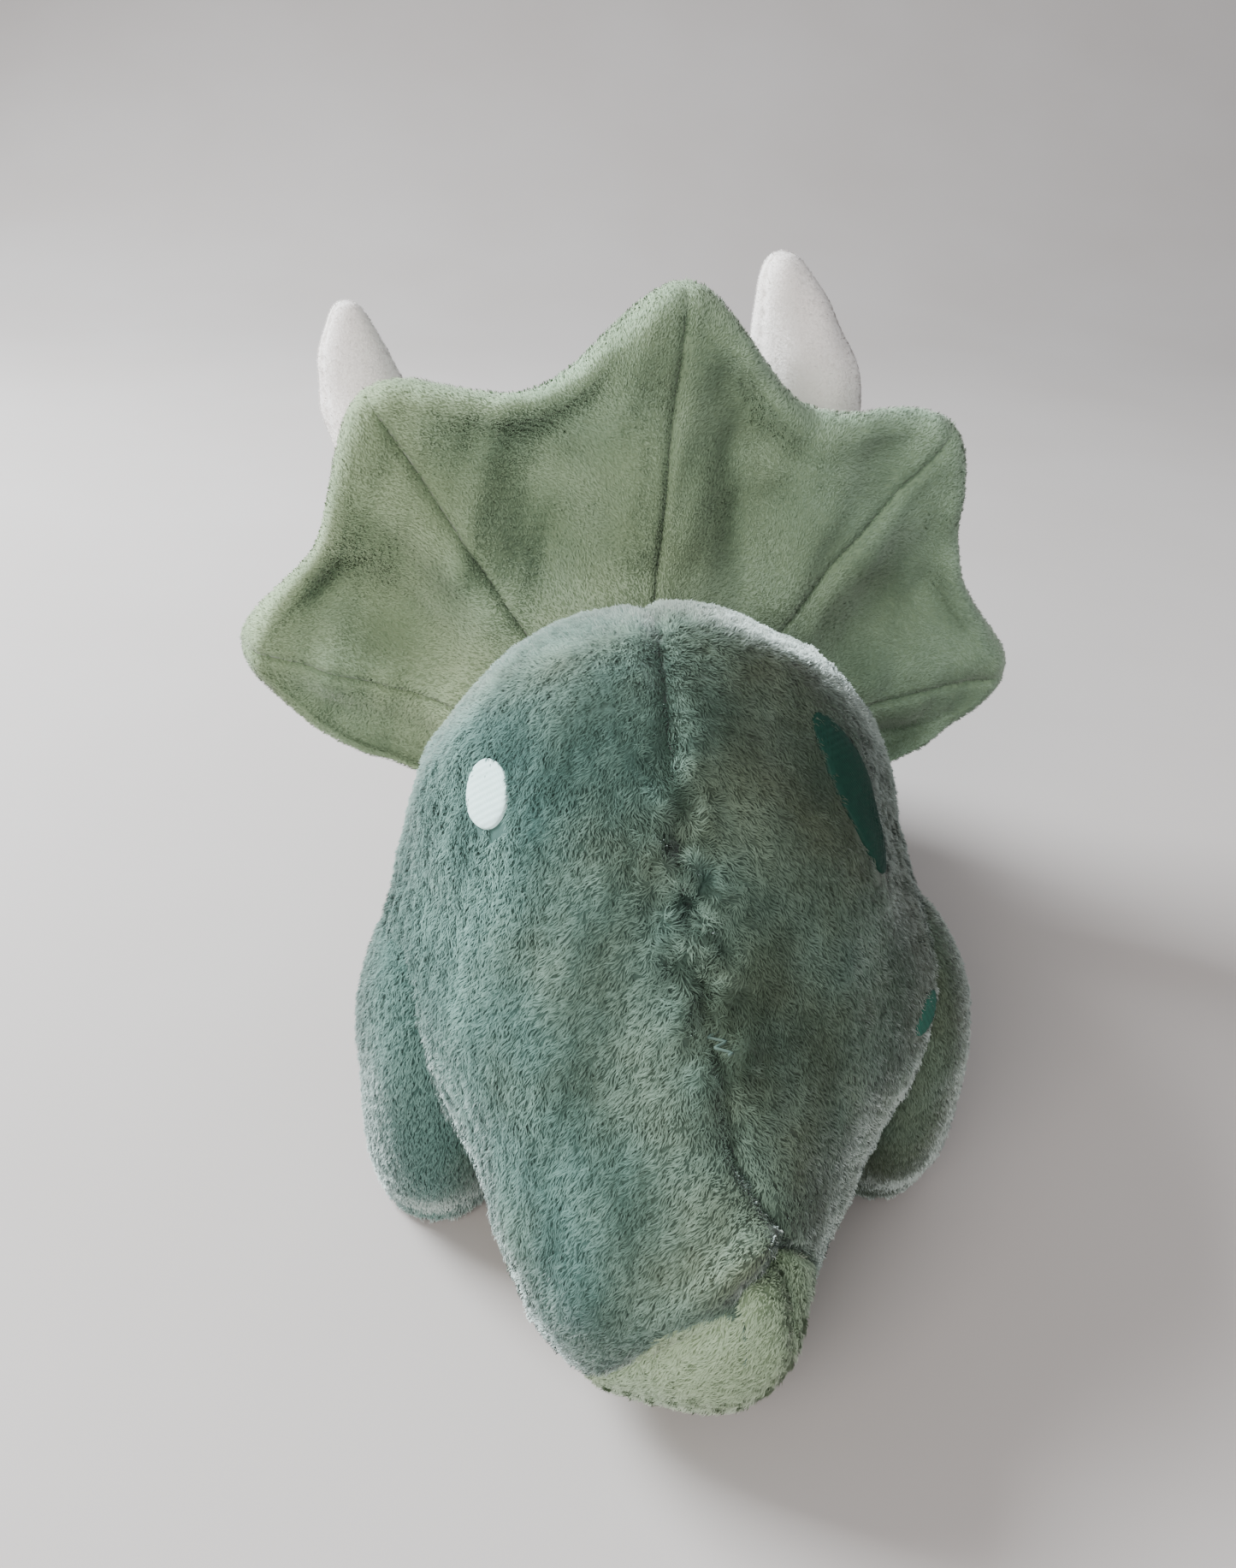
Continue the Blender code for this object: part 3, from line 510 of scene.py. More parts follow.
def seam_angles(t):
    """Angles of the back seam and of both side seams at each station. They are searched on close
    rings and smoothed along the body; where a ring is light all round, the dark cloth runs out."""
    gaps = len(BODY) - 1
    steps = 20 * gaps + 1
    along = np.linspace(0.0, gaps, steps)
    angle = np.radians(np.linspace(-90.0, 270.0, 721))
    ring = ring_point(BODY, 2, *np.meshgrid(along, angle, indexing="ij"))
    above = ring[..., 2] - side_seam_z(ring[..., 0], ring[..., 1])
    left = np.where((angle < math.pi / 2)[None] & (above < 0), angle[None], -math.pi / 2).max(axis=1)
    right = np.where((angle > math.pi / 2)[None] & (above < 0), angle[None], 1.5 * math.pi).min(axis=1)
    spine = through(BODY, along)
    across = (back_seam_x(ring[:, 0, 1]) - spine[:, 0]) / np.maximum(spine[:, 3], 1.0)
    top = np.arccos(np.clip(across, -0.9, 0.9))
    reach = np.ones(15) / 15.0
    left, top, right = (np.interp(t, along, np.convolve(np.pad(f, 7, mode="edge"), reach, mode="valid"))
                        for f in (left, top, right))
    middle = 0.5 * (left + right)
    left = np.minimum(left, middle - 0.012)
    right = np.maximum(right, middle + 0.012)
    return left, np.clip(top, left + 0.006, right - 0.006), right


def body_grid(low, high, t):
    """The body's surface between two angles at each station."""
    share = np.linspace(0.0, 1.0, PANEL_COLUMNS)[None]
    angle = low[:, None] + (high - low)[:, None] * share
    return body_surface(np.repeat(t[:, None], PANEL_COLUMNS, axis=1), angle)


def body_comb(points, normals):
    """Pile lies away from the back seam, down the sides and towards the tail; over the shoulders it
    is brushed the other way, to the head."""
    x, y = points[..., 0], points[..., 1]
    away = np.tanh((x - back_seam_x(y)) / 9.0)
    tailward = 1.5 * rise(y + 0.12 * np.abs(x), 6.0, 24.0) - 0.75
    flow = np.stack([0.75 * away, tailward, -0.55 * np.abs(away)], axis=-1)
    turn = 0.7 * waves(points, 40.0, 21)
    flow[..., 0] += 0.5 * np.sin(turn)
    messy = (bell(y, 60.0, 20.0) * bell(x - back_seam_x(y), 0.0, 9.0))[..., None]
    stray = np.stack([waves(points, 5.0, 22), waves(points, 5.0, 23), waves(points, 5.0, 24)], axis=-1)
    flow = flow * (1 - 0.9 * messy) + 1.2 * stray * messy
    return along_cloth(flow, normals)


def body_tone_and_painted_light(points):
    """Tone of the pile: lighter and darker brushings at random and pale tufts at the closing; painted light
    adds a pale sheen band over the shoulders, a painted shadow behind them, a lighter left flank and a
    darker right flank, and painted shade along the back seam's groove."""
    x, y, z = points[..., 0], points[..., 1], points[..., 2]
    brushed = 0.13 * waves(points, 46.0, 31) + 0.11 * waves(points, 15.0, 32)
    # Painted sheen: the pile is paler over the shoulders.
    shoulders = 0.12 * (1.0 - rise(y + 0.12 * np.abs(x), 8.0, 24.0))
    shadow = -0.26 * bell(y, 32.0, 11.0) * rise(z, 90.0, 110.0)
    near_seam = x - back_seam_x(y)
    tufts = 0.55 * bell(y, *CLOSING) * bell(near_seam + 2.0, 0.0, 5.5) * waves(points, 6.0, 33)
    lower = 0.05 * rise(y, 66.0, 90.0)
    # Painted light and shade: the lit left flank is lighter, the shaded right flank darker.
    flank_light_and_shade = 0.24 * rise(x, 34.0, 54.0) - 0.18 * rise(-x, 8.0, 40.0)
    # Painted shade along the back seam's groove, weaker at the closing.
    line = -0.5 * bell(near_seam, 0.0, 0.9) * (1.0 - 0.6 * bell(y, *CLOSING))
    return brushed + shoulders + shadow + tufts + lower + flank_light_and_shade + line


def spot_frame(name):
    """Middle, length direction, width direction and normal of a spot on the body."""
    t, degrees, half_length, half_width, turn = SPOTS[name][:5]
    tt = t + np.array([-0.03, 0.0, 0.03])
    aa = math.radians(degrees) + np.array([-0.02, 0.0, 0.02])
    patch, _ = body_surface(np.repeat(tt[:, None], 3, axis=1), np.repeat(aa[None], 3, axis=0))
    middle = patch[1, 1]
    ahead = unit(patch[2, 1] - patch[0, 1])
    around = unit(patch[1, 2] - patch[1, 0])
    normal = unit(np.cross(ahead, around))
    normal = normal if normal @ (middle - np.array([3.0, middle[1], 62.0])) > 0 else -normal
    sideways = np.cross(ahead, normal)
    c, s = math.cos(turn), math.sin(turn)
    return middle, ahead * c + sideways * s, sideways * c - ahead * s, normal, half_length, half_width


def outside_spots(points):
    """1 on bare cloth, 0 inside the embroidered spots, which have no pile."""
    clear = np.ones(points.shape[:-1])
    for name in SPOTS:
        middle, long_way, wide_way, normal, half_length, half_width = spot_frame(name)
        d = points - middle
        inside = ((d @ long_way) / half_length) ** 2 + ((d @ wide_way) / half_width) ** 2
        near = np.abs(d @ normal) < SPOT_DEPTH
        clear = np.where((inside < SPOT_CLEARING) & near, 0.0, clear)
    return clear


def blend_tail(obj):
    """Bakes the object's placement into its mesh."""
    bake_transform(obj)


def body_panels():
    """Two dark back skins and the light belly, each in one cloth from the chest to the tail's tip,
    with its pile on a coarser grid. Pile is sparse where the belly is hidden."""
    t = body_rows()
    left, top, right = seam_angles(t)
    fine = body_rows(6)
    fine_left, fine_top, fine_right = seam_angles(fine)
    turn = 2 * math.pi
    panels = {
        "back_skin_left": (left, top, fine_left, fine_top, "back_panel_left", "tail_panel_left"),
        "back_skin_right": (top, right, fine_top, fine_right, "back_panel_right", "tail_panel_right"),
        "belly_skin": (right - turn, left, fine_right - turn, fine_left, "belly_panel", "tail_under_panel"),
    }
    for number, (name, (low, high, fine_low, fine_high, *nodes)) in enumerate(panels.items()):
        light = name == "belly_skin"
        points, normals = body_grid(low, high, t)
        skin = cloth(name, points, normals, LIGHT_GROUND if light else DARK_GROUND)
        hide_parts(*nodes)
        blend_tail(skin)
        points, normals = body_grid(fine_low, fine_high, fine)
        y = points[..., 1]
        messy = bell(y, *CLOSING) * bell(points[..., 0] - back_seam_x(y), 0.0, 7.0)
        keep = outside_spots(points) * rise(y, -72.0, -60.0)
        tone = body_tone_and_painted_light(points)
        if light:
            keep = keep * (0.3 + 0.7 * rise(y, 70.0, 84.0))
            tone = 0.15 + 0.25 * rise(y, 84.0, 98.0)
        fur = pile(name.replace("skin", "pile"), points, normals, body_comb(points, normals),
                   LIGHT_PILE if light else DARK_PILE, 6.0, 1.8, 0.27, 100 + number,
                   lean=0.88, ruffle=0.24, clump=3.0, keep=keep, tone=tone, stretch=1.0 + 0.75 * messy)
        blend_tail(fur)


body_panels()


# Embroidered spots


def embroidered_spot(name):
    """An ellipse of satin stitch: rings r by angle, laid on the cloth, domed at the edge, with fine
    ridges of thread that run along the spot."""
    middle, long_way, wide_way, normal, half_length, half_width = spot_frame(name)
    material, slot_name = SPOTS[name][5:]
    r = np.linspace(0.0, 1.0, 44)[:, None]
    a = np.linspace(0.0, 2 * math.pi, 160, endpoint=False)[None]
    flat_long = half_length * r * np.sin(a)
    flat_wide = half_width * r * np.cos(a)
    points = middle + flat_long[..., None] * long_way + flat_wide[..., None] * wide_way
    drop = body_depth(points, normal)
    ridges = 0.10 * np.abs(np.sin(math.pi * (flat_wide + 0.25 * flat_long) / 0.55))
    ridges = ridges + 0.05 * np.sin(flat_long * 4.0)
    height = 0.35 + 0.75 * np.sqrt(np.clip(1 - r**6, 0, 1)) + ridges
    height = np.where(r > 0.995, -1.0, height)
    flat = (points + (height + drop)[..., None] * normal).reshape(-1, 3)
    faces = oriented(flat, grid_faces(44, 160, wrap=True), normal)
    obj = finish_mesh(name, flat, faces.tolist(), material)
    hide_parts(name)
    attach(obj, "torso")


def oriented(points, faces, normal):
    """The faces, turned over where they face away from the normal."""
    a, b, c = (points[faces[:, i]] for i in (0, 1, 2))
    return faces if (np.cross(b - a, c - a) @ normal).sum() > 0 else faces[:, ::-1]


CLOUD_T, CLOUD_ANGLE = np.linspace(7.0, 13.0, 181), np.radians(np.linspace(-20.0, 215.0, 301))
BODY_CLOUD = body_surface(*np.meshgrid(CLOUD_T, CLOUD_ANGLE, indexing="ij"))[0].reshape(-1, 3)


def body_depth(points, normal):
    """How far the body's surface lies from each point along a normal: the mean offset of the
    surface points nearest to it."""
    depth = np.zeros(points.shape[:-1])
    reach = np.linalg.norm(BODY_CLOUD - points.reshape(-1, 3).mean(axis=0), axis=1) < 30.0
    cloud = BODY_CLOUD[reach]
    for i in range(points.shape[0]):
        row = points[i]
        gap = cloud[None] - row[:, None]
        along = gap @ normal
        apart = np.linalg.norm(gap - along[..., None] * normal, axis=-1) + 0.02 * np.abs(along)
        nearest = np.argpartition(apart, 4, axis=1)[:, :4]
        depth[i] = np.take_along_axis(along, nearest, axis=1).mean(axis=1)
    return depth


for spot in SPOTS:
    embroidered_spot(spot)


# Closing thread


def closing_thread():
    """Ladder stitches down the closed filling hole: a zigzag across the back seam, on the cloth."""
    y = np.linspace(38.0, 80.0, 180)
    step = 3.0
    zigzag = 1.5 * (2.0 * np.abs(2.0 * ((y / step) % 1.0) - 1.0) - 1.0)
    across = back_seam_x(y) + zigzag
    cloud = BODY_CLOUD[BODY_CLOUD[:, 2] > 60.0]
    near = [int(np.argmin((cloud[:, 0] - px) ** 2 + (cloud[:, 1] - py) ** 2)) for px, py in zip(across, y)]
    path = np.stack([across, y, cloud[near][:, 2] - 4.5], axis=-1)
    thread = tube("closing_thread", path, 0.3, CLOSING_THREAD, 8)
    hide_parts("closure_stitches")
    blend_tail(thread)


CLOSING_THREAD = thread_material("closing thread", (0.06, 0.10, 0.085), (0.08, 0.12, 0.10))


# Wadding of the body and the tail


def wadding(name, node, body, first, last):
    """The stuffing: the cloth's own rings from one station to another, 4 mm inside it, closed at
    both ends."""
    t, angle = np.meshgrid(np.linspace(first, last, 60), np.linspace(0.0, 2 * math.pi, 97), indexing="ij")
    points, normals = body_surface(t, angle)
    obj = shell_from(name, points - 4.0 * normals, FIBRE)
    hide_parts(node)
    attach(obj, body)


# Legs


def leg_stations(hip, foot, ball, foot_width, foot_length, half_width):
    """Stations down a leg, round above the hip and swelling to a rounded foot with a flat sole."""
    x, y, z = hip
    fx, fy = foot
    made = []
    for degrees in (0.0, 16.0, 34.0, 54.0, 74.0, 92.0):
        a = math.radians(degrees)
        size = ball * math.sin(a)
        made.append((x, y, z + ball * math.cos(a), half_width * math.sin(a), size, size))
    made.append((0.7 * x + 0.3 * fx, 0.6 * y + 0.4 * fy, 0.72 * z, half_width, 0.98 * ball, 0.98 * ball))
    made.append((0.4 * x + 0.6 * fx, 0.3 * y + 0.7 * fy, 0.42 * z, half_width, 0.9 * ball, 0.9 * ball))
    made.append((fx, fy, 0.17 * z, 1.02 * foot_width, 1.03 * foot_length, 1.03 * foot_length))
    made.append((fx, fy, 0.06 * z, 0.96 * foot_width, 0.96 * foot_length, 0.96 * foot_length))
    made.append((fx, fy, 0.4, 0.8 * foot_width, 0.84 * foot_length, 0.84 * foot_length))
    made.append((fx, fy, 0.1, 0.4 * foot_width, 0.42 * foot_length, 0.42 * foot_length))
    made.append((fx, fy, 0.1, 0.0, 0.0, 0.0))
    return made


LEGS = {
    "hind": ((56.0, 26.0, 44.0), (54.5, 31.0), 31.5, 16.0, 20.5, 16.5),
    "front": ((46.0, -40.0, 36.0), (46.0, -43.0), 22.0, 15.0, 18.0, 15.0),
}


def closed_form(stations, up_axis, per_gap, around, roll=0.0, pivot=(0.0, 0.0, 0.0)):
    """Grid of a closed soft form from pole to pole, with its normals."""
    gaps = len(stations) - 1
    t = np.linspace(0.0, gaps, gaps * per_gap + 1)
    t[0], t[-1] = 0.01, gaps - 0.01
    angle = np.linspace(0.0, 2 * math.pi, around + 1)
    tt, aa = np.meshgrid(t, angle, indexing="ij")
    points = ring_point(stations, up_axis, tt, aa)
    spine = through(stations, tt)[..., :3]
    normals = surface_normals(points, spine)
    normals[:, -1] = normals[:, 0] = unit(normals[:, 0] + normals[:, -1])
    if roll:
        points = lean_about(points, pivot, roll)
        spine = lean_about(spine, pivot, roll)
        normals = lean_about(normals, (0, 0, 0), roll)
    return points, normals, tt, aa


def shell_from(name, points, material):
    """A closed mesh from a wrapped grid whose last column repeats the first, with a fan at each pole."""
    grid = points[:, :-1]
    rows, columns = grid.shape[:2]
    faces = grid_faces(rows, columns, wrap=True)
    verts = np.concatenate([grid.reshape(-1, 3), grid[:1].mean(axis=1), grid[-1:].mean(axis=1)])
    c = np.arange(columns)
    d = (c + 1) % columns
    first, last = rows * columns, rows * columns + 1
    caps = [[first, int(j), int(i)] for i, j in zip(c, d)]
    base = (rows - 1) * columns
    caps += [[last, int(base + i), int(base + j)] for i, j in zip(c, d)]
    middle = verts.mean(axis=0)
    a, b, e = (verts[faces[:, i]] for i in (0, 1, 2))
    if np.sum(np.cross(b - a, e - a) * (a - middle)) < 0:
        faces = faces[:, ::-1]
        caps = [face[::-1] for face in caps]
    return finish_mesh(name, verts, faces.tolist() + caps, material)


def leg(where, side, sign):
    hip, foot, ball, foot_width, foot_length, half_width = LEGS[where]
    stations = leg_stations(hip, foot, ball, foot_width, foot_length, half_width)
    stations = [(sign * s[0] + BODY_SHIFT, *s[1:]) for s in stations]
    name = f"{where}_leg_{side}"
    points, normals, _, _ = closed_form(stations, 1, 7, 96)
    lumps = 0.5 * waves(points, 24.0, 41)
    points = points + normals * (lumps * rise(points[..., 2], 3.0, 12.0))[..., None]
    skin = shell_from(f"{name}_cover", points, DARK_GROUND)
    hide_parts(f"{name}_skin", f"{name}_sole")
    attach(skin, name)
    x, y, z = points[..., 0], points[..., 1], points[..., 2]
    outer = rise(sign * (x - BODY_SHIFT), *((38.0, 44.0) if where == "hind" else (28.0, 32.0)))
    low = rise(z, 1.2, 2.2)
    flow = np.stack([0.2 * sign + 0 * x, 0.5 + 0 * x, -1.0 + 0 * x], axis=-1)
    flow = along_cloth(flow, normals)
    density = 5.5 if where == "hind" else 2.6
    seed = 200 + len(name) + int(sign)
    # The pile's tone is higher on the left legs and lower on the right ones: painted light and shade.
    fur = pile(f"{name}_pile", points, normals, flow, DARK_PILE, density, 1.8, 0.29, seed, lean=0.88,
               keep=np.clip(outer + 0.35, 0, 1) * low, tone=0.15 * sign + 0.10 * waves(points, 30.0, 42))
    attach(fur, name)
    sole = sole_patch(name, stations[-3][0], foot[1], foot_width, foot_length)
    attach(sole, name)


def sole_patch(name, x, y, foot_width, foot_length):
    """The light sole: an ellipse of cloth with a rolled edge, a hair under the foot."""
    r = np.linspace(0.0, 1.0, 16)[:, None]
    a = np.linspace(0.0, 2 * math.pi, 72, endpoint=False)[None]
    z = 0.1 + 1.4 * rise(r, 0.86, 1.0) + 0 * a
    across, along = 0.86 * foot_width * r * np.cos(a), 0.88 * foot_length * r * np.sin(a)
    flat = np.stack([x + across, y + along, z], axis=-1).reshape(-1, 3)
    faces = oriented(flat, grid_faces(16, 72, wrap=True), np.array([0, 0, -1.0]))
    return finish_mesh(f"{name}_sole_cloth", flat, faces.tolist(), LIGHT_GROUND)


FIBRE = fibre_material()
wadding("torso_wadding", "torso_filling", "torso", 4.0, 10.8)
wadding("tail_wadding", "tail_filling", "tail", 12.6, 16.6)
for place in LEGS:
    leg(place, "left", 1.0)
    leg(place, "right", -1.0)


# Head

HEAD = [
    (0.0, -66.0, 74.0, 0.0, 0.0, 0.0),
    section(0.0, -69.0, 38.0, 108.0, 38.0),
    section(0.0, -74.0, 32.0, 119.0, 51.0),
    section(0.0, -86.0, 25.0, 129.0, 59.0),
    section(0.0, -103.0, 20.0, 134.0, 62.0),
    section(0.0, -120.0, 19.0, 128.0, 59.0),
    section(0.0, -135.0, 22.0, 112.0, 51.0),
    section(0.0, -148.0, 28.0, 95.0, 40.0),
    section(0.0, -157.0, 37.0, 80.0, 26.0),
    (0.0, -161.0, 58.0, 0.0, 0.0, 0.0),
]
CHIN_SEAM_Z = 60.0
EYES = {"left": 12.0, "right": 168.0}
EYE_T = 5.9


def head_surface(t, angle):
    """Upright head: the stations' ellipses with soft cheeks, seam grooves and a brow."""
    points = ring_point(HEAD, 2, t, angle)
    spine = through(HEAD, t)[..., :3]
    normals = surface_normals(points, spine)
    x, y, z = points[..., 0], points[..., 1], points[..., 2]
    top = -1.1 * bell(x, 0.0, 2.0) * rise(normals[..., 2], 0.0, 0.4)
    jaw = -1.1 * bell(z, CHIN_SEAM_Z, 2.2) * rise(-y, 74.0, 84.0)
    cheeks = 2.0 * bell(y, -122.0, 18.0) * bell(z, 66.0, 16.0) * np.abs(normals[..., 0])
    lumps = 0.6 * waves(points, 30.0, 51)
    points = points + normals * (top + jaw + cheeks + lumps)[..., None]
    normals = surface_normals(points, spine)
    return lean_about(points, NECK, HEAD_ROLL), lean_about(normals, (0, 0, 0), HEAD_ROLL)


def chin_angles(t):
    """Angles at which the seam between head and chin meets each ring."""
    s = through(HEAD, t)
    sine = np.clip((CHIN_SEAM_Z - s[:, 2]) / np.maximum(s[:, 5], 1.0), -0.92, 0.92)
    low = np.arcsin(sine)
    return low, math.pi - low


def head_panels():
    gaps = len(HEAD) - 1
    t = np.linspace(0.03, gaps - 0.03, gaps * 12)
    low, high = chin_angles(t)
    middle = np.full_like(t, math.pi / 2)
    ranges = {"head_cover_left": (low, middle, "head_panel_left"),
              "head_cover_right": (middle, high, "head_panel_right"),
              "chin_cover": (high - 2 * math.pi, low, "chin_panel")}
    for number, (name, (a, b, node)) in enumerate(ranges.items()):
        light = name == "chin_cover"
        share = np.linspace(0.0, 1.0, 72)[None]
        angle = a[:, None] + (b - a)[:, None] * share
        points, normals = head_surface(np.repeat(t[:, None], 72, axis=1), angle)
        skin = cloth(name, points, normals, LIGHT_GROUND if light else DARK_GROUND)
        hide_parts(node)
        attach(skin, "head")
        x, y = points[..., 0], points[..., 1]
        flow = along_cloth(np.stack([0.2 * np.sign(x), 0.9 + 0 * x, -0.45 + 0 * x], axis=-1), normals)
        keep = rise(-y, 70.0, 76.0) * away_from_face(points)
        fur = pile(name.replace("cover", "pile"), points, normals, flow, LIGHT_PILE if light else DARK_PILE,
                   2.6, 1.9, 0.36, 300 + number, keep=keep,
                   tone=(0.12 if light else 0.08) + 0.08 * waves(points, 34.0, 52))
        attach(fur, "head")


def head_spot(t, degrees):
    """Point and outward normal on the leaned head."""
    tt = t + np.array([-0.04, 0.0, 0.04])
    aa = math.radians(degrees) + np.array([-0.03, 0.0, 0.03])
    points, normals = head_surface(np.repeat(tt[:, None], 3, axis=1), np.repeat(aa[None], 3, axis=0))
    return points[1, 1], unit(normals[1, 1])


def away_from_face(points):
    """1 on bare cloth, 0 under the eyes, which have no pile."""
    clear = np.ones(points.shape[:-1])
    for degrees in EYES.values():
        at, _ = head_spot(EYE_T, degrees)
        clear = np.where(np.linalg.norm(points - at, axis=-1) < 6.6, 0.0, clear)
    return clear


def eye(side):
    """A polished dome: a quarter ellipse turned about the outward normal, with a thin flange."""
    at, normal = head_spot(EYE_T, EYES[side])
    a = np.linspace(0.0, math.pi / 2, 20)
    radius = np.concatenate([6.4 * np.sin(a), [6.5, 6.3, 0.5]])
    height = np.concatenate([1.4 + 3.4 * np.cos(a), [0.9, 0.3, 0.2]])
    turn = np.linspace(0.0, 2 * math.pi, 49)[None, :, None]
    side_way = unit(np.cross(normal, [0.0, 0.0, 1.0]))
    up_way = np.cross(normal, side_way)
    spoke = np.cos(turn) * side_way + np.sin(turn) * up_way
    points = at + height[:, None, None] * normal + radius[:, None, None] * spoke
    obj = shell_from(f"eye_dome_{side}", points, EYE_GLOSS)
    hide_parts(f"eye_{side}")
    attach(obj, "head")


EYE_GLOSS = eye_material()


def tube(name, path, radius, material, around=10):
    """A round thread along a path: rings across the path's direction."""
    along = unit(np.gradient(path, axis=0))
    up = unit(np.cross(along, np.array([0.31, 0.17, 0.93])))
    over = np.cross(along, up)
    turn = np.linspace(0.0, 2 * math.pi, around + 1)[None, :, None]
    points = path[:, None] + radius * (np.cos(turn) * up[:, None] + np.sin(turn) * over[:, None])
    return shell_from(name, points, material)


def face_threads():
    """Mouth line and nostrils, each sewn as a bundle of short stitches on the muzzle."""
    x = np.linspace(-26.0, 26.0, 80)
    z = 50.0 + 5.0 * (np.abs(x) / 26.0) ** 2
    front = muzzle_front(x, z)
    mouth = tube("mouth_thread", front, 0.95, FACE_THREAD)
    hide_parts("mouth_stitch")
    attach(mouth, "head")
    for side, sign in (("left", 1.0), ("right", -1.0)):
        s = np.linspace(-1.0, 1.0, 30)
        path = muzzle_front(sign * 11.0 + 1.2 * sign * s, 74.0 + 3.0 * s)
        nostril = tube(f"nostril_thread_{side}", path, 1.25, FACE_THREAD)
        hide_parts(f"nostril_{side}")
        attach(nostril, "head")


def muzzle_front(x, z):
    """Points of the muzzle that face -Y at upright x and z, found on a fine grid of the head."""
    gaps = len(HEAD) - 1
    tt, aa = np.meshgrid(np.linspace(6.0, gaps - 0.02, 160), np.linspace(0, 2 * math.pi, 361), indexing="ij")
    upright = ring_point(HEAD, 2, tt, aa).reshape(-1, 3)
    moved, normals = head_surface(tt, aa)
    moved, normals = moved.reshape(-1, 3), normals.reshape(-1, 3)
    nearest = [int(np.argmin((upright[:, 0] - px) ** 2 + (upright[:, 2] - pz) ** 2)) for px, pz in zip(x, z)]
    path = moved[nearest] + normals[nearest] * 1.9
    kernel = np.ones(7) / 7.0
    padded_path = np.concatenate([np.repeat(path[:1], 3, axis=0), path, np.repeat(path[-1:], 3, axis=0)])
    return np.stack([np.convolve(padded_path[:, i], kernel, mode="valid") for i in range(3)], axis=-1)


closing_thread()
head_panels()
for eye_side in EYES:
    eye(eye_side)
face_threads()


# Horns

# Each horn: x, height and half width at its stations
HORNS = {
    "left": ((49.0, 104.0, 0.0), (51.0, 109.0, 13.0), (56.0, 120.0, 18.5),
             (66.0, 136.0, 18.4), (74.5, 153.0, 14.6), (79.5, 168.0, 9.3),
             (80.5, 177.5, 5.4), (80.6, 181.4, 3.0), (80.6, 182.8, 0.0)),
    "right": ((-40.0, 114.0, 0.0), (-41.0, 119.0, 13.0), (-43.5, 131.0, 18.9),
              (-46.0, 148.0, 19.2), (-46.0, 166.0, 16.6), (-42.0, 182.0, 11.6),
              (-38.2, 192.5, 7.2), (-36.8, 197.0, 3.8), (-36.4, 198.4, 0.0)),
}
HORN_Y = -103.0
NOSE_HORN = ((-141.0, 84.0, 0.0), (-142.0, 88.0, 9.0), (-144.0, 98.0, 10.0), (-147.0, 108.0, 7.5),
             (-149.5, 116.0, 4.5), (-150.7, 119.2, 2.4), (-151.0, 120.0, 0.0))


def horn_form(stations, seed, roll=0.0):
    """A velour horn: closed form with a puckered seam down its outer side and its inner side."""
    points, normals, _, aa = closed_form(stations, 1, 12, 72, roll, NECK)
    seam = bell(np.abs(np.sin(aa - 0.5)), 0.0, 0.10)
    gather = 0.35 * seam * np.sin(points[..., 2] * 1.3)
    lumps = 0.45 * waves(points, 16.0, seed)
    points = points + normals * (lumps - 0.8 * seam + gather)[..., None]
    return points, normals


def horn(name, stations, body, nodes, seed, roll=0.0, parent=None):
    points, normals = horn_form(stations, seed, roll)
    skin = shell_from(f"{name}_cover", points, CREAM_GROUND)
    flow = np.zeros_like(points)
    flow[..., 2] = 1.0
    flow = along_cloth(flow, normals)
    fur = pile(f"{name}_pile", points, normals, flow, CREAM_PILE, 6.0, 0.6, 0.14, seed, lean=0.55, clump=1.2,
               keep=rise(points[..., 2], points[..., 2].min() + 6.0, points[..., 2].min() + 9.0),
               tone=0.25 + 0 * points[..., 0])
    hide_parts(*nodes)
    for piece in (skin, fur):
        if parent:
            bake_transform(piece)
        else:
            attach(piece, body)


for side in HORNS:
    spine = [(x, HORN_Y, z, w, 0.92 * w, 0.92 * w) for x, z, w in HORNS[side]]
    horn(f"horn_{side}", spine, f"horn_{side}", (f"horn_{side}_skin",), 400 + len(side), parent=side)
nose_spine = [(0.0, y, z, w, w, w) for y, z, w in NOSE_HORN]
horn("nose_horn", nose_spine, "head", ("nose_horn_skin",), 420, HEAD_ROLL)


# Frill

FRILL_BASE = ((44.0, 58.0), (44.0, 76.0), (28.0, 94.0), (0.0, 100.5))
FRILL_TIPS = ((62.0, 57.0), (115.0, 89.0), (77.0, 164.5), (0.0, 196.5))
FRILL_VALLEYS = ((94.0, 64.0), (92.0, 120.0), (35.0, 168.0))
FRILL_Y = -60.0
FRILL_SWEEP = 22.0
FRILL_REACH = 114.0
FRILL_CUP = 8.0
RIM_RADIUS = 6.6
WEB = 3.2
# Soft folds of the fan: place between the seams at the rim and at the neck, depth and width
FRILL_FOLDS = (
    (0.55, 0.35, 3.0, 0.16), (1.30, 1.62, -4.5, 0.20), (1.82, 1.90, 3.0, 0.12), (2.48, 2.25, -4.5, 0.17),
    (2.86, 2.70, 2.6, 0.12), (3.16, 3.72, -5.0, 0.15), (3.52, 3.95, 3.2, 0.14), (3.82, 4.10, -4.0, 0.12),
    (4.52, 4.30, -5.0, 0.20), (4.84, 4.72, 2.5, 0.12), (5.45, 5.60, -3.0, 0.17),
)
GORES = ("left_lower", "left_side", "left_top", "right_top", "right_side", "right_lower")


def mirrored(points):
    """Points from one end to the middle, then back to the other end on the far side."""
    return [*points, *[(-x, z) for x, z in points[-2::-1]]]


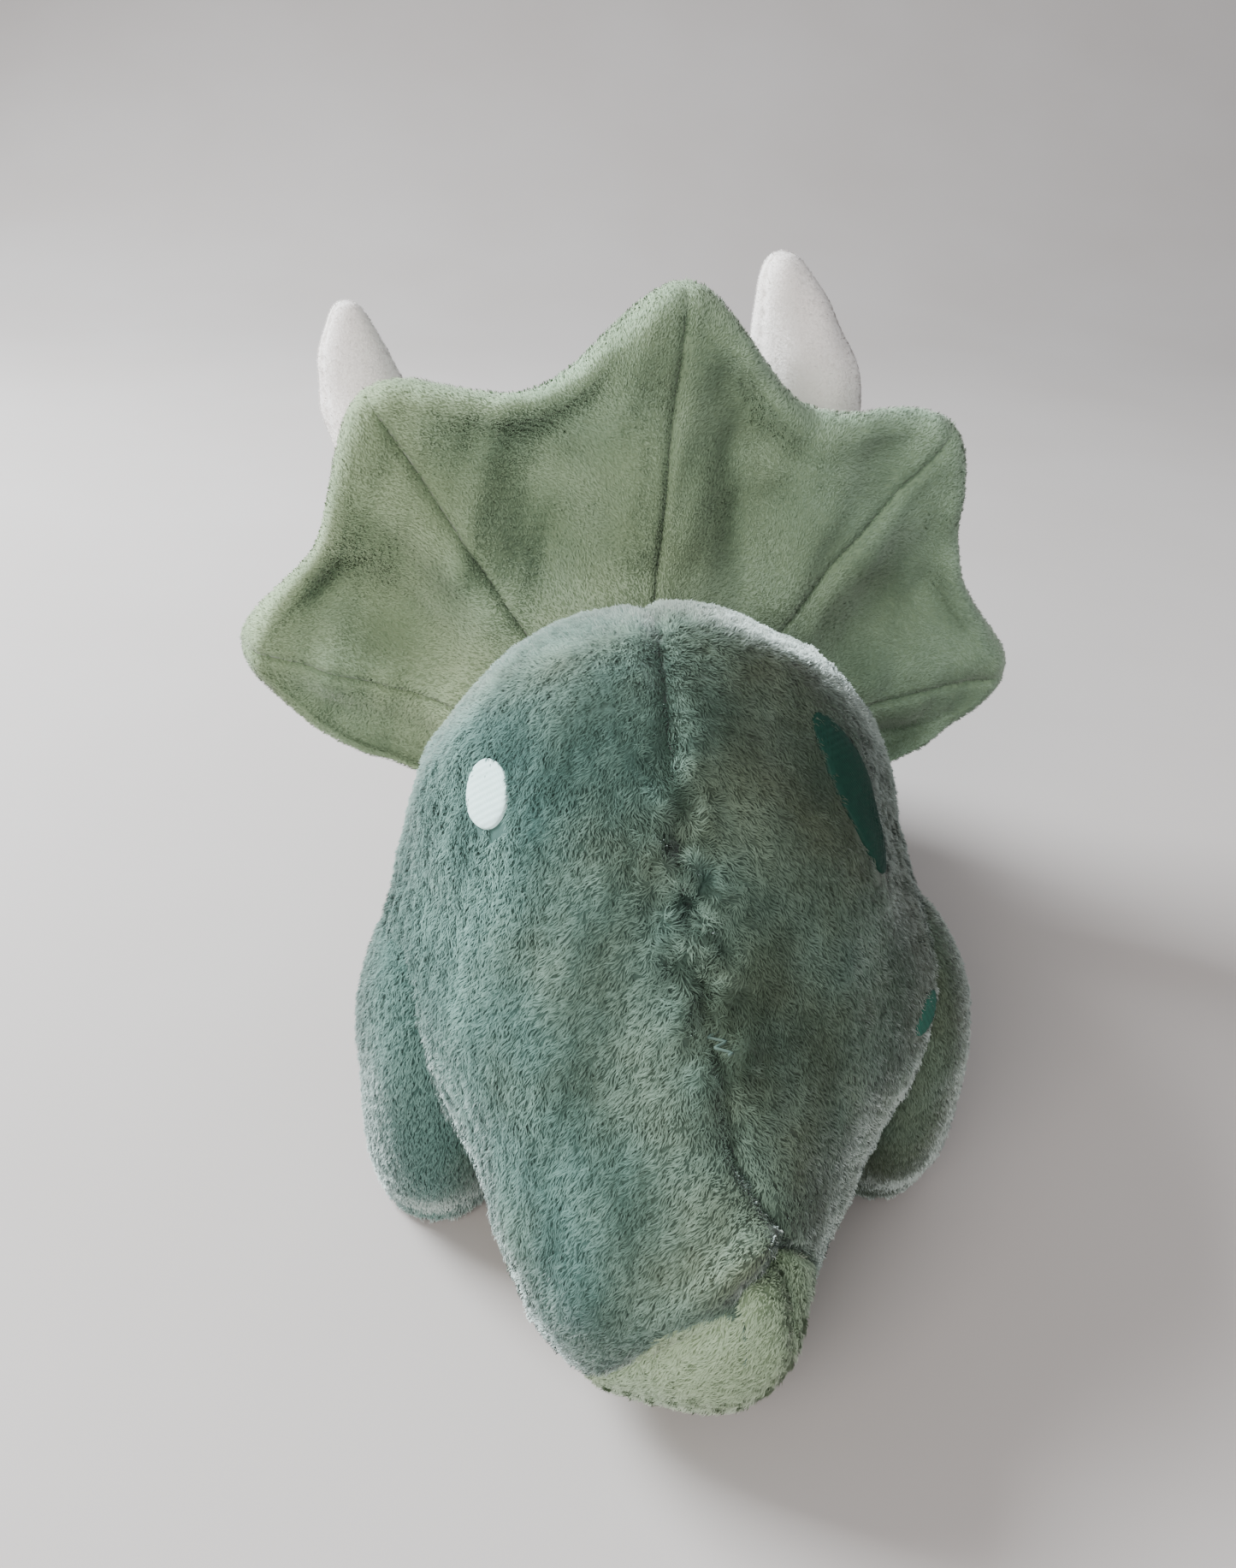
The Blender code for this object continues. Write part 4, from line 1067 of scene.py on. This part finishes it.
def frill_rim(u):
    """Smooth scallops: the curve through every tip and valley."""
    left = [FRILL_TIPS[0]]
    for valley, tip in zip(FRILL_VALLEYS, FRILL_TIPS[1:]):
        left += [valley, tip]
    full = np.array(mirrored(left))
    total = 0.0
    for shift, share in ((-0.07, 0.25), (0.0, 0.5), (0.07, 0.25)):
        total = total + share * through(full, np.clip(u * 2.0 + shift, 0.0, 12.0))
    return total


def frill_base(u):
    """The fan's foot, where it is sewn to the neck."""
    full = np.array(mirrored(list(FRILL_BASE)))
    return through(full, u)


def frill_folds(u, share):
    """Folds that run from the rim to the neck: each is a bell across u whose middle drifts from its
    place at the rim to its place at the neck, faded out at the neck and at the rim."""
    depth = np.zeros_like(share)
    for at_rim, at_neck, height, width in FRILL_FOLDS:
        depth = depth + height * bell(u, at_neck + (at_rim - at_neck) * share, width)
    return depth * rise(share, 0.12, 0.45) * (1.0 - 0.7 * rise(share, 0.84, 1.0))


def frill_point(u, w):
    """u runs from seam to seam and w from 0 at the neck on the back, over the rim at 0.5, to 1 at
    the neck in front. The web is thin, the rim is puffed, the gores sag between their seams."""
    base = frill_base(u)
    rim = frill_rim(u)
    reach = rim - base
    length = np.linalg.norm(reach, axis=-1)
    way = reach / length[..., None]
    flat_share = np.clip(np.minimum(w, 1.0 - w) / 0.42, 0.0, 1.0)
    sweep = np.clip((w - 0.42) / 0.16, 0.0, 1.0) * math.pi
    run = length - RIM_RADIUS
    along = run * flat_share + RIM_RADIUS * np.sin(sweep)
    back = w < 0.5
    share = along / length
    puff = rise(share, 0.66, 0.95)
    thickness = WEB + (RIM_RADIUS - WEB) * puff
    over_rim = (w >= 0.42) & (w <= 0.58)
    offset = np.where(over_rim, RIM_RADIUS * np.cos(sweep), np.where(back, thickness, -thickness))
    middle = np.sin(math.pi * u) ** 2
    sag = FRILL_CUP * middle * rise(share, 0.05, 0.55) * (1.0 - 0.75 * rise(share, 0.80, 1.0))
    near = np.abs(u - np.round(u)) * np.maximum(length, 1.0) * 0.55
    crease = 1.5 * bell(near, 0.0, 1.3) * np.clip(1.0 - np.abs(share - 0.5) ** 6 * 40, 0.0, 1.0)
    crease = np.where((np.round(u) > 0.5) & (np.round(u) < 5.5), crease, 0.0)
    flat = base + way * along[..., None]
    y = FRILL_Y - FRILL_SWEEP * (flat[..., 0] / FRILL_REACH) ** 2 - sag + offset
    y = y - np.where(back, crease, -0.6 * crease)
    wavy = np.stack([flat[..., 0], 0 * y, flat[..., 1]], axis=-1)
    ripple = 1.5 * waves(wavy, 30.0, 61) + 0.5 * waves(wavy, 12.0, 62)
    y = y + ripple * rise(share, 0.1, 0.3)
    y = y + frill_folds(u, share)
    points = np.stack([flat[..., 0], y, flat[..., 1]], axis=-1)
    return lean_about(points, FRILL_PIVOT, FRILL_ROLL), share


def frill_grid(u_low, u_high, w_low, w_high, columns, rows):
    u = np.linspace(u_low, u_high, columns)
    w = np.linspace(w_low, w_high, rows)
    ww, uu = np.meshgrid(w, u, indexing="ij")
    points, share = frill_point(uu, ww)
    normals = surface_normals(points)
    middle_row = rows // 3
    outward = 1.0 if w_low < 0.4 else -1.0
    if normals[middle_row, :, 1].mean() * outward < 0:
        normals = -normals
    return points, normals, share, uu


def blend_frill(obj):
    """Bakes the object's placement into its mesh."""
    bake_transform(obj)


def frill_panel(name, u_low, u_high, w_low, w_high, columns, node, per_mm2, seed):
    """One panel of the fan with its pile, combed outwards and parted at the seams."""
    points, normals, share, uu = frill_grid(u_low, u_high, w_low, w_high, columns, 110)
    skin = cloth(name, points, normals, LIGHT_GROUND, 1.6)
    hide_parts(node)
    blend_frill(skin)
    outward = np.stack([points[..., 0] / 60.0, 0 * share, (points[..., 2] - 70.0) / 90.0], axis=-1)
    swirl = np.stack([waves(points, 30.0, 63), 0 * share, waves(points, 30.0, 64)], axis=-1)
    flow = along_cloth(unit(outward) + 0.5 * swirl, normals)
    near = np.abs(uu - np.round(uu)) * 60.0
    seam = bell(near, 0.0, 1.0) * rise(share, 0.0, 0.1) * (1 - rise(share, 0.9, 0.97))
    # The pile is lighter towards the rim, a painted highlight, and darker at the seams, painted shade in
    # their creases.
    tone = 0.02 + 0.12 * waves(points, 24.0, 65) + 0.20 * rise(share, 0.86, 0.97) - 0.5 * seam
    tone = tone + 0.42 * (1 - rise(share, 0.20, 0.42))
    fur = pile(name.replace("panel", "pile"), points, normals, flow, LIGHT_PILE, per_mm2, 1.35, 0.30, seed,
               lean=0.88, clump=1.5, keep=rise(share, 0.0, 0.02) * (1 - 0.8 * seam), tone=tone)
    blend_frill(fur)


for number, gore in enumerate(GORES):
    frill_panel(f"frill_panel_{gore}", number, number + 1, 0.0, 0.5, 60,
                f"frill_gore_{gore}", 5.5, 500 + number)
for number, (side, low, high) in enumerate((("left", 0.0, 3.0), ("right", 3.0, 6.0))):
    frill_panel(f"frill_panel_front_{side}", low, high, 0.5, 1.0, 150,
                f"frill_front_{side}", 3.2, 520 + number)


def frill_wadding():
    """The batting: the same fan, a skin's depth inside it, closed round the neck's edge."""
    points = frill_grid(0.06, 5.94, 0.02, 0.98, 160, 61)[0]
    spine = 0.5 * (points + points[::-1])
    inner = spine + (points - spine) * 0.6
    inner = np.concatenate([inner, inner[:1]], axis=0)
    closed = shell_from("frill_wadding", np.swapaxes(inner, 0, 1), FIBRE)
    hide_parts("frill_batting")
    blend_frill(closed)


frill_wadding()


# Neck: a short collar of light cloth between the body and the head


def neck_collar():
    """Rings from the body's front to the head's back, a little inside both."""
    rings = [(0.5, -52.0, 71.0, 46.0, 36.0, 36.0), (0.0, -60.0, 72.0, 46.0, 36.5, 36.5),
             (0.0, -68.0, 72.5, 44.0, 35.5, 35.5), (0.0, -76.0, 73.0, 45.0, 36.0, 36.0),
             (0.0, -84.0, 74.0, 46.0, 37.0, 37.0)]
    t, a = np.meshgrid(np.linspace(0.0, 4.0, 41), np.linspace(0.0, 2 * math.pi, 97), indexing="ij")
    points = ring_point(rings, 2, t, a)
    skin = shell_from("neck_cover", points, LIGHT_GROUND)
    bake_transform(skin)


neck_collar()


# What shows little or nothing: the other fillings and the washers keep their solids

WASHER = washer_material()
for node_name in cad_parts:
    node = bpy.data.objects.get(node_name)
    finish = None
    if node_name.endswith("filling") or node_name.endswith("batting"):
        finish = FIBRE
    elif node_name.startswith("eye_washer"):
        finish = WASHER
    if finish is not None and node is not None:
        for slot_entry in node.material_slots:
            slot_entry.material = finish


# Floor, light and camera


def floor():
    """A pale sheet that runs level under the toy and curves up far behind it."""
    x = np.linspace(-1500.0, 1500.0, 61)
    s = np.linspace(-2400.0, 1200.0, 121)
    xx, ss = np.meshgrid(x, s, indexing="ij")
    over = np.clip(-900.0 - ss, 0.0, None)
    z = 0.0008 * over**2
    points = np.stack([xx, ss, z], axis=-1)
    made, nodes, links, shader = shader_material("pale floor", 0.9, 0.1)
    sheet_colour = mottled(nodes, (0.47, 0.43, 0.415), (0.50, 0.465, 0.455), 6.0)
    links.new(sheet_colour, shader.inputs["Base Color"])
    flat = points.reshape(-1, 3)
    faces = grid_faces(61, 121)
    obj = finish_mesh("floor", flat, oriented(flat, faces, np.array([0, 0, 1.0])).tolist(), made)


def area_light(name, position, target, size, power, colour):
    data = bpy.data.lights.new(name, "AREA")
    data.size = size
    data.energy = power
    data.color = colour
    obj = bpy.data.objects.new(name, data)
    aim = Vector(target) - Vector(position)
    obj.matrix_world = Matrix.Translation(position) @ aim.to_track_quat("-Z", "Y").to_matrix().to_4x4()
    bpy.context.scene.collection.objects.link(obj)


def camera():
    """A phone's wide lens, close above and behind the toy, rolled a little."""
    azimuth, elevation, roll = 3.0163, 0.5553, 0.055
    level = math.cos(elevation)
    back = np.array([math.sin(azimuth) * level, -math.cos(azimuth) * level, math.sin(elevation)])
    position = metres(np.array([14.1, 6.4, 96.94]) + 277.83 * back)
    right = unit(np.cross(-back, [0.0, 0.0, 1.0]))
    up = np.cross(right, -back)
    rolled_right = math.cos(roll) * right + math.sin(roll) * up
    rolled_up = -math.sin(roll) * right + math.cos(roll) * up
    data = bpy.data.cameras.new("camera")
    data.sensor_fit = "VERTICAL"
    data.sensor_height = 36.0
    data.lens = 36.0 * 1390.0 / 1833.0
    data.clip_start = 0.01
    obj = bpy.data.objects.new("camera", data)
    axes = np.eye(4)
    axes[:3, 0], axes[:3, 1], axes[:3, 2], axes[:3, 3] = rolled_right, rolled_up, back, position
    obj.matrix_world = Matrix(axes.tolist())
    bpy.context.scene.collection.objects.link(obj)
    bpy.context.scene.camera = obj


floor()
area_light("window", (0.85, -0.42, 0.85), (0.0, 0.0, 0.06), 0.5, 46.0, (0.90, 0.97, 1.0))
area_light("room", (0.75, 1.05, 0.8), (0.0, 0.0, 0.08), 0.9, 20.0, (1.0, 0.95, 0.90))
world = bpy.data.worlds.new("soft room")
bpy.context.scene.world = world
world.use_nodes = True
world.node_tree.nodes["Background"].inputs["Color"].default_value = (0.94, 0.97, 1.0, 1.0)
world.node_tree.nodes["Background"].inputs["Strength"].default_value = 0.6
camera()
